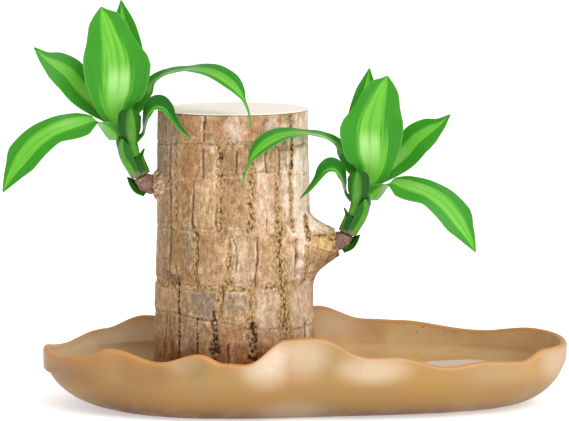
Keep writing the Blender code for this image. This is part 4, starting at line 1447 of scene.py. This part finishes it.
LEAVES = (
    Leaf("bract", 0, 0, 0, 0, 0, 0,
         ((5.3, 0, -7, 5.4, 24), (10.7, 0, -3.1, 5.2, 36), (14, 0, 1.1, 3.6, 36),
          (16.6, 0, 4.6, 0.4, 30)), 40, False, 0, 0),
    Leaf("sheath_inner", 1.2, 9.6, 150, 53, 5.8, 0,
         ((6.6, 2.8, 19.4, 3.4, -20), (5.4, 3.6, 23.6, 0.4, -20)), 44, True, 0, 0),
    Leaf("sheath_front", 1.2, 12.8, 40, 54, 6.4, 0.14,
         ((19.8, 6, 21, 7.4, -44), (20.2, 7.8, 25.2, 6.6, -54), (19.6, 9, 28.6, 4.2, -62),
          (18.8, 9.6, 30.4, 0.6, -66)), 60, False, 0, 0),
    Leaf("sheath_upper", 14, 7, 100, 46, 5.6, 0.12,
         ((14.2, 8, 29.6, 6.2, -96), (14.6, 9.4, 37.4, 8.2, -92), (14.4, 10.6, 43.9, 8, -90),
          (13.8, 12.2, 48, 5.4, -90), (13.4, 13.4, 50.2, 1, -90)), 56, False, 0, 0),
    Leaf("leaf_droop", 11, 15, -20, 34, 4.9, 0.09,
         ((25.2, -2.8, 31, 6.8, -44), (30.8, 1, 37.4, 6.6, -32), (37.6, 5.6, 41.8, 6.6, 8),
          (45.2, 11, 41.4, 7.4, 44), (52, 15, 39.9, 8, 58), (61.2, 18, 37, 9.2, 62),
          (72.9, 21, 29.8, 11, 64), (82.2, 23, 19.4, 11.4, 66), (89.8, 24, 8.2, 7, 66),
          (95.2, 24.5, -2.5, 0.5, 66)), 22, False, 0.8, 2.5),
    Leaf("leaf_curl", 16, 6, 206, 40, 4.5, 0.16,
         ((6.2, -2.6, 31.5, 4, 10), (4.4, 0.6, 39.6, 4.8, 20), (2, 8, 48.2, 6.2, 35),
          (-4, 17, 53, 7.2, 45), (-9.6, 24, 51.2, 5.4, 45), (-13.6, 29, 46, 3.2, 45),
          (-18.6, 33, 39.8, 2, 45), (-25.5, 36, 33, 0.4, 45)), 30, True, 0.4, 1.5),
    Leaf("leaf_side", 21, 6, -42, 38, 4.1, 0.18,
         ((23, -8.4, 36.6, 4.8, 32), (28.6, -12.4, 42.2, 6.8, 44), (37.2, -15.8, 49.4, 9, 54),
          (48.8, -16.8, 61.3, 11.8, 60), (55.3, -17, 69.8, 12.2, 62), (62.9, -17, 76, 10.2, 62),
          (70.6, -17, 80.9, 5, 60), (77.5, -17, 87.7, 0.5, 60)), 16, False, 0.9, 2),
    Leaf("leaf_arch", 21, 6, 220, 40, 4.1, 0.18,
         ((12.2, -9, 43.6, 3.6, 45), (8.8, -11.2, 51.2, 5.2, 60), (5.2, -12.6, 58.9, 6, 58),
          (0.4, -12, 65, 6, 34), (-7.3, -4, 70.6, 6.8, 12), (-18.8, 12, 74.6, 7, 5),
          (-30.5, 30, 76.8, 7.4, 15), (-41.5, 40, 75.4, 8, 30), (-50.4, 46, 70.6, 7.8, 40),
          (-57, 50, 63.8, 4.8, 42), (-60.4, 51.8, 57.8, 1.4, 40), (-63.2, 53.5, 50.4, 0.8, 35),
          (-64.4, 54, 42.5, 0.4, 35)), 20, True, 0.2, 2),
    Leaf("leaf_back", 26, 5, 272, 30, 3.9, 0.14,
         ((18.6, -7, 38.6, 2.4, 90), (18.9, -11.6, 46, 2.8, 90), (19.2, -19, 57, 7.4, 90),
          (18.4, -24, 68, 11, 90), (18.4, -25, 80, 12, 90), (19.3, -25, 99.8, 8.4, 90),
          (21.1, -24, 118.2, 0.5, 90)), 16, False, 0.5, 2),
    Leaf("leaf_front", 31, 5, 268, 54, 3.35, 0.12,
         ((22.6, -4, 44, 8.8, 90), (24.4, -2.8, 51.4, 13.2, 90), (23.4, -1.8, 63.4, 19.8, 90),
          (23, -0.8, 76.5, 21.6, 90), (24.1, 0.2, 88.3, 19.4, 90), (27, 0.8, 98.7, 13.8, 90),
          (29.7, 1, 107.7, 8.8, 90), (32.9, 1, 115, 0.6, 90)), 16, False, 1.6, 2.2),
)


@dataclass(frozen=True)
class Dress:
    """How a leaf is coloured and cut in full detail."""

    band: float  # middle of the pale band, from -1 at one margin to 1 at the other
    spread: float  # half width of the band
    pale: float  # strength of the palest part, near the blade's base
    painted_shade_side: float  # painted shade of the far half, negative for the other half
    rows: int
    columns: int
    # Cuts and bulges of the outline: place along the leaf, extra width on its two margins
    trim: Stations = ((0.0, 0.0, 0.0),)
    lines: tuple[float, ...] = ()  # places of the darkest lines across the leaf
    band_start: float = 0.0  # part of the leaf's length where the band sets in
    pale_at: float = 0.34  # middle and reach of the palest part along the leaf
    pale_reach: float = 0.17


DRESSES = {
    "bract": Dress(0, 0.3, 0, 0.9, 24, 12),
    "sheath_inner": Dress(0.2, 0.25, 0, 0.4, 30, 16),
    "sheath_front": Dress(-0.05, 0.5, 0, 0.35, 34, 18),
    "sheath_upper": Dress(-0.35, 0.55, 0.25, 0.6, 40, 18, lines=(-0.2, -0.5)),
    "leaf_droop": Dress(0.1, 0.62, 0.2, 0.15, 90, 24, (
        (0, 0, 0), (0.1, 0, 1), (0.2, 3, 5), (0.27, 1.2, 1.2), (0.33, 0, 0),
        (0.38, 3.5, 0), (0.42, 7, 0), (0.46, 5.6, 0),
        (0.51, 3, 0), (0.57, 0.5, 0), (0.78, 0, 0), (0.86, 0, -2),
        (0.93, 0, -1.5), (1, 0, 0)), (0.02, 0.32)),
    "leaf_curl": Dress(0.75, 0.25, 0, -1, 64, 16),
    "leaf_side": Dress(0.25, 0.5, 0.35, 0.15, 60, 22, lines=(0.1, 0.35)),
    "leaf_arch": Dress(0.4, 0.7, 0.9, -0.3, 90, 16, lines=(0.3, 0.6), band_start=0.2,
                       pale_at=0.4, pale_reach=0.13),
    "leaf_back": Dress(0, 0.5, 0.3, 0, 50, 16),
    "leaf_front": Dress(-0.04, 0.58, 0.85, 0, 90, 40, (
        (0, 0, 0), (0.415, 0, 0), (0.54, 0, 0.8), (0.6, 0.6, -0.4),
        (0.66, 1.2, -3.7), (0.7, 1.6, -4.3), (0.735, 1.9, -3.6), (0.8, 2, -1),
        (0.86, 2.2, 0), (0.92, 2.8, 0), (0.96, 2.4, -0.9), (1, 0, 0)), (-0.45, 0.13),
        pale_at=0.27, pale_reach=0.17),
}


@dataclass(frozen=True)
class Sprout:
    """A leafy sprout on one of the log's stubs.

    The stem's axis goes outward and upward from the middle of the collar's seat.
    """

    name: str
    stub: Stub
    size: float
    lean: float
    log_x: float = -47.0
    seat_gap: float = 0.5
    thickness: float = 0.8
    margin_thickness: float = 0.45
    narrowest: float = 0.35
    flattest: float = 0.02
    wave_shift: float = 1.2
    crease: float = 0.45
    sheath_marks: tuple[float, ...] = (0.0, 0.34, 0.67, 1.0)
    collar_radius: float = 7.2
    collar_top: float = 6.2
    collar_turn: float = 68.0
    collar_hinge: float = 7.6
    collar_root: float = 0.4  # the collar's foot closes the gap to the stub
    collar_length: float = 12.0
    collar_bulge: float = 0.4
    collar_rings: int = 70
    collar_sides: int = 90
    lump_size: float = 4.8
    scale_depth: float = 1.5
    stem_rings: int = 40
    stem_sides: int = 28
    stem_foot: float = 0.6
    node_gap: float = 7.0  # the stem swells at its nodes, this far apart
    node_swell: float = 0.12
    stem_axis: Stations = (
        (7, 4.8, 4.9), (9, 9.8, 4.6), (11.3, 15.2, 4.2), (14, 22, 3.6), (16.5, 28.7, 3),
        (18.6, 35.4, 2.4), (20.4, 43, 1.6),
    )

    def place(self, points: np.ndarray) -> np.ndarray:
        """Turn points from the sprout's own coordinates into the part's.

        Args:
            points: places outward, frontward and upward.

        Returns:
            Places along X, Y and Z.
        """
        lean = radians(self.lean)
        out, front, up = np.moveaxis(points, -1, 0)
        out, up = out * cos(lean) + up * sin(lean), up * cos(lean) - out * sin(lean)
        reach = self.stub.reach + self.seat_gap + self.size * out
        return np.stack((self.log_x + self.stub.side * reach, -self.stub.front - self.size * front,
                         self.stub.height + self.size * up), axis=-1)

    def spline(self, stations: list, part: float) -> tuple[np.ndarray, np.ndarray]:
        """Read a smooth curve through stations.

        Args:
            stations: the first three columns are a place, the others keep within their values.
            part: part of the curve's length.

        Returns:
            The values there and their slopes.
        """
        rows = np.array(stations, dtype=float)
        steps = np.linalg.norm(np.diff(rows[:, :3], axis=0), axis=1)
        marks = np.concatenate(([0.0], np.cumsum(steps)))
        place = part * marks[-1]
        i = int(min(np.searchsorted(marks, place, side="right") - 1, len(rows) - 2))
        climbs = np.diff(rows, axis=0) / np.diff(marks)[:, None]
        slopes = np.zeros_like(rows)
        slopes[0], slopes[-1] = climbs[0], climbs[-1]
        before, after = climbs[:-1], climbs[1:]
        same = before * after > 0.0
        slopes[1:-1][same] = (2.0 * before * after)[same] / (before + after)[same]
        slopes[:, :3] = np.gradient(rows[:, :3], marks, axis=0)
        width = marks[i + 1] - marks[i]
        u = (place - marks[i]) / width
        value = ((2 * u**3 - 3 * u**2 + 1) * rows[i] + (u**3 - 2 * u**2 + u) * width * slopes[i]
                 + (3 * u**2 - 2 * u**3) * rows[i + 1] + (u**3 - u**2) * width * slopes[i + 1])
        slope = ((6 * u**2 - 6 * u) * (rows[i] - rows[i + 1]) / width
                 + (3 * u**2 - 4 * u + 1) * slopes[i] + (3 * u**2 - 2 * u) * slopes[i + 1])
        return value, slope

    def stem_length(self) -> float:
        """Length of the stem's axis."""
        pairs = zip(self.stem_axis, self.stem_axis[1:])
        return sum(hypot(b[0] - a[0], b[1] - a[1]) for a, b in pairs)

    def stem_frame(self, height: float) -> tuple[np.ndarray, np.ndarray, float]:
        """Where the stem is at a height along it.

        Args:
            height: length of the axis below.

        Returns:
            Centre, outward normal and radius.
        """
        stations = [(out, 0.0, up, radius) for out, up, radius in self.stem_axis]
        value, slope = self.spline(stations, min(height / self.stem_length(), 1.0))
        along = unit(slope[:3])
        return value[:3], np.array((along[2], 0.0, -along[0])), value[3]

    def stations(self, leaf: Leaf) -> list:
        """Stations of a leaf: midrib, upper side's direction, half width and hollow.

        Args:
            leaf: the leaf.

        Returns:
            The stations of the sheath, then those of the free blade that goes on from it.
        """
        stations = []
        bearing, clasp = radians(leaf.azimuth), radians(leaf.clasp)
        for part in self.sheath_marks if leaf.sheath else ():
            centre, outward, _ = self.stem_frame(leaf.root + part * leaf.sheath)
            radial = outward * cos(bearing) + FRONTWARD * sin(bearing)
            reach = leaf.radius + leaf.lift * part * leaf.sheath
            stations.append((*(centre + reach * radial), *(-radial), reach * clasp, clasp))
        points = [np.array(s[:3]) for s in stations] + [np.array(p[:3]) for p in leaf.path]
        for i, (*spot, half_width, turn) in enumerate(leaf.path, 1):
            here = len(stations)
            along = unit(points[min(here + 1, len(points) - 1)] - points[max(here - 1, 0)])
            side = -1.0 if leaf.inward else 1.0
            over = side * np.array((-along[2], 0.0, along[0]))
            face = over * cos(radians(turn)) + FRONTWARD * sin(radians(turn))
            hollow = radians(leaf.cup * (1.0 - 0.5 * i / len(leaf.path)))
            stations.append((*spot, *face, half_width, hollow))
        return stations

    def blade(self, leaf: Leaf, dress: Dress) -> tuple[np.ndarray, np.ndarray, np.ndarray]:
        """Middle surface of a leaf from root to tip.

        Args:
            leaf: the leaf.
            dress: its numbers of rows and columns.

        Returns:
            Rows of points, and their places across and along the leaf.
        """
        stations = self.stations(leaf)
        across = np.sin(0.5 * pi * np.linspace(-1.0, 1.0, dress.columns + 1))
        parts = np.linspace(0.0, 1.0, dress.rows + 1)
        places, low, high = np.array(dress.trim).T
        rows = []
        for part in parts:
            value, slope = self.spline(stations, part)
            along = unit(slope[:3])
            face = unit(value[3:6] - along * np.dot(value[3:6], along))
            over = np.cross(along, face)
            half_width, hollow = max(value[6], self.narrowest), max(value[7], self.flattest)
            bend = half_width / hollow
            extra = np.where(across < 0.0, np.interp(part, places, low),
                             np.interp(part, places, high))
            spread = across * (1.0 + extra * np.abs(across) / half_width)
            shift = np.where(across > 0.0, self.wave_shift, 0.0)
            ripple = leaf.wave * across**2 * np.sin(tau * leaf.waves * part + shift)
            ripple = ripple * ease(3.0 * part - 1.0) * ease(5.0 * (1.0 - part))
            fold = self.crease * ease(3.0 * part - 0.6) * np.exp(-(across / 0.1) ** 2)
            lift = bend * (1.0 - np.cos(hollow * spread)) + ripple - fold
            rows.append(value[:3] + np.outer(bend * np.sin(hollow * spread), over)
                        + np.outer(lift, face))
        return np.array(rows), across, parts

    def colours(self, leaf: Leaf, dress: Dress, u: np.ndarray, v: np.ndarray) -> dict:
        """Marks of a leaf that its finish reads.

        Args:
            leaf: the leaf.
            dress: how it is coloured.
            u: places across the leaf, -1 at one margin and 1 at the other.
            v: places along the leaf, 0 at the root and 1 at the tip.

        Returns:
            Values for each mark.
        """
        free = ease(v / 0.35 - 0.4)
        spread = dress.spread * (1.0 - 0.45 * v)
        middle = u - dress.band * (1.0 - v)
        band = np.clip(1.0 - (np.abs(middle) - 0.6 * spread) / (0.8 * spread), 0.0, 1.0)
        band = band * (1.0 - 0.25 * v)
        if dress.band_start:
            band = band * ease((v - dress.band_start) / 0.08)
        pale = dress.pale * ease((0.82 - np.abs(middle - 0.1) / spread) / 0.25)
        pale = pale * ease(1.8 - np.abs(v - dress.pale_at) / dress.pale_reach)
        # painted shade over one half of the leaf, and dark lines
        shade = abs(dress.painted_shade_side) * ease(0.5 + u * np.sign(dress.painted_shade_side or 1.0) * 1.4)
        for place in dress.lines:
            line = 0.4 * np.exp(-((u - place * (1.0 - 0.6 * v)) / 0.03) ** 2)
            shade = np.maximum(shade, line * ease(1.4 - v) * free)
        seed = 11.0 * len(leaf.name) + leaf.azimuth / 7.0 + self.lean * 5.0
        brown = 0.8 * ease(1.3 - v / 0.12) * (0.0 < leaf.root < 2.0)  # next to the collar
        return {"across": u, "along": v, "band": band, "pale": pale * free, "root": brown,
                "depth": shade, "seed": np.full(u.shape, seed)}

    def leaf(self, leaf: Leaf) -> Piece:
        """Mesh of a leaf with the marks that its finish reads.

        Args:
            leaf: the leaf.

        Returns:
            The piece.
        """
        dress = DRESSES[leaf.name]
        rows, across, along = self.blade(leaf, dress)
        normals = unit(np.cross(np.gradient(rows, axis=1), np.gradient(rows, axis=0)))
        half = 0.5 * (self.margin_thickness
                      + (self.thickness - self.margin_thickness) * (1.0 - np.abs(across) ** 4))
        shell = normals * half[None, :, None]
        loops = np.concatenate((rows + shell, (rows - shell)[:, ::-1]), axis=1)
        count, width = loops.shape[:2]
        faces = ring_faces(count, width)
        for start in (0, (count - 1) * width):
            strip = [[start + k, start + k + 1, start + width - 2 - k, start + width - 1 - k]
                     for k in range(width // 2 - 1)]
            faces += [face[::-1] for face in strip] if start == 0 else strip
        marks = self.colours(leaf, dress, *np.broadcast_arrays(across[None, :], along[:, None]))
        marks = {name: np.concatenate((values, values[:, ::-1]), axis=1)
                 for name, values in marks.items()}
        slot = "leaf_green" if leaf.name.startswith("leaf") else "sheath_green"
        return Piece(f"{self.name}_{leaf.name}", slot, self.place(loops).reshape(-1, 3), faces,
                     marks)

    def stem(self) -> Piece:
        """Mesh of the green stem, which tapers toward the tip.

        Returns:
            The piece.
        """
        rings = []
        parts = np.linspace(0.0, 1.0, self.stem_rings)
        turns = np.linspace(0.0, tau, self.stem_sides, endpoint=False)
        for i in range(self.stem_rings):
            part = i / (self.stem_rings - 1)
            height = self.stem_foot + part * (self.stem_length() - self.stem_foot)
            centre, outward, radius = self.stem_frame(height)
            radius *= 1.0 - 0.4 * ease((part - 0.93) / 0.07)
            past = height % self.node_gap - 0.5 * self.node_gap
            node = self.node_swell * np.exp(-(past / 0.7) ** 2)
            around = np.outer(np.cos(turns), outward) + np.outer(np.sin(turns), FRONTWARD)
            rings.append(self.place(centre + (radius + node) * around))
        v, u = np.meshgrid(parts, 0.9 * np.cos(turns), indexing="ij")
        marks = dict.fromkeys(("pale", "depth", "root"), np.zeros_like(u))
        marks |= {"across": u, "along": v, "band": 0.5 * v, "seed": np.full(u.shape, 3.0)}
        return Piece(f"{self.name}_stem", "sheath_green", *shut(np.array(rings)), marks)

    def collar(self) -> Piece:
        """Mesh of the bud collar: dry lumps on a bent seat.

        Returns:
            The piece.
        """
        part, turn = np.meshgrid(np.linspace(0.0, 1.0, self.collar_rings),
                                 np.linspace(0.0, tau, self.collar_sides, endpoint=False),
                                 indexing="ij")
        seat = np.stack((self.collar_length * part, self.collar_radius * np.cos(turn),
                         self.collar_radius * np.sin(turn)), axis=-1)
        inside, own = cells(seat, self.lump_size, 3.0 + self.lean)
        ends = ease(part / 0.06) * ease((1.0 - part) / 0.06)
        bend = np.radians(self.collar_turn * part)
        radius = self.collar_radius + (self.collar_top - self.collar_radius) * part
        lump = np.sqrt(inside) * (0.55 + 0.45 * own)
        radius = radius + self.collar_bulge - self.scale_depth * (1.0 - lump * ends)
        down = self.collar_hinge + radius * np.cos(turn)
        points = np.stack((down * np.sin(bend), radius * np.sin(turn),
                           self.collar_hinge - down * np.cos(bend)), axis=-1)
        points[..., 0] -= self.collar_root * ease(1.0 - part / 0.08)
        marks = {"lobe": inside, "pale": own * inside}
        return Piece(f"{self.name}_collar", "bud_scales", *shut(self.place(points)), marks)

    def build(self) -> list[Piece]:
        """All the pieces of the sprout."""
        return [self.collar(), self.stem(), *[self.leaf(leaf) for leaf in LEAVES]]


# Studio


@dataclass(frozen=True)
class Studio:
    """The light table as the floor, an even sky, one broad soft light and the camera."""

    floor_half: float = 15000.0
    camera_at: tuple[float, float, float] = (-13.5, -2000.0, 359.0)
    pitch: float = 6.6
    lens: float = 194.67
    sensor: float = 36.0
    far_metres: float = 100.0
    sky: str = "#FFFFFF"
    sky_strength: float = 0.74
    key_strength: float = 1.65
    key_spread: float = 50.0
    key_from: tuple[float, float, float] = (0.75, -1.0, 0.95)

    def build(self) -> None:
        """Make the floor, the lights and the camera."""
        self.floor()
        self.lights()
        self.camera()

    def add(self, name: str, data: bpy.types.ID) -> bpy.types.Object:
        """Add an object to the scene.

        Args:
            name: its name.
            data: its mesh, light or camera.

        Returns:
            The object.
        """
        thing = bpy.data.objects.new(name, data)
        bpy.context.collection.objects.link(thing)
        return thing

    def floor(self) -> None:
        """Lay the floor under the tray's foot."""
        half = self.floor_half * MM
        mesh = bpy.data.meshes.new("studio_floor")
        corners = [(-half, -half, 0.0), (half, -half, 0.0), (half, half, 0.0), (-half, half, 0.0)]
        mesh.from_pydata(corners, [], [(0, 1, 2, 3)])
        mesh.materials.append(LightTable().build())
        floor = self.add("studio_floor", mesh)

    def lights(self) -> None:
        """Set the even sky and the broad key light."""
        scene = bpy.context.scene
        scene.world = scene.world or bpy.data.worlds.new("studio_sky")
        scene.world.use_nodes = True
        sky = scene.world.node_tree.nodes["Background"]
        sky.inputs["Color"].default_value = srgb(self.sky)
        sky.inputs["Strength"].default_value = self.sky_strength
        key = bpy.data.lights.new("key_light", "SUN")
        key.energy = self.key_strength
        key.angle = radians(self.key_spread)
        lamp = self.add("key_light", key)
        lamp.rotation_mode = "QUATERNION"
        lamp.rotation_quaternion = Vector(self.key_from).to_track_quat("Z", "Y")
        scene.view_settings.view_transform = "Standard"
        scene.view_settings.look = "None"

    def camera(self) -> None:
        """Put the camera where the photograph was taken from."""
        data = bpy.data.cameras.new("photo_camera")
        data.lens = self.lens
        data.sensor_width = self.sensor
        data.clip_end = self.far_metres
        camera = self.add("photo_camera", data)
        camera.location = [MM * c for c in self.camera_at]
        camera.rotation_euler = Euler((radians(90.0 - self.pitch), 0.0, 0.0))
        bpy.context.scene.camera = camera


def main() -> None:
    """Dress the whole object and set up the studio."""
    logging.basicConfig(level=logging.INFO, format="%(message)s")
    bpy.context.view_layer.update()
    tray = Tray()
    tray.build().make(GlazedStoneware().build())
    log = Log()
    trunk = log.build()
    trunk.make(WeatheredBark().build())
    water = Water(tray).build(log).make(StillWater().build())
    water.visible_shadow = False  # daylight reaches the glaze under clear, shallow water
    WaxSeal(log).build(log.edge(trunk)).make(BrushedWax().build())
    finishes = {
        "bud_scales": DryBudScales().build(),
        "leaf_green": WaxyLeaf("waxy_variegated_leaf", "#36901A", "#6FC039", "#B2E38A", "#1E6A14",
                               "#9CC878").build(),
        "sheath_green": WaxyLeaf("waxy_leaf_sheath", "#226810", "#56A22A", "#8ABE6E", "#104206",
                                 "#84B46E").build(),
    }
    for sprout in (Sprout("left", LEFT_STUB, 1.0, 0.0), Sprout("right", RIGHT_STUB, 0.942, 1.2)):
        for piece in sprout.build():
            piece.make(finishes[piece.slot])
    Studio().build()


if __name__ == "__main__":
    main()
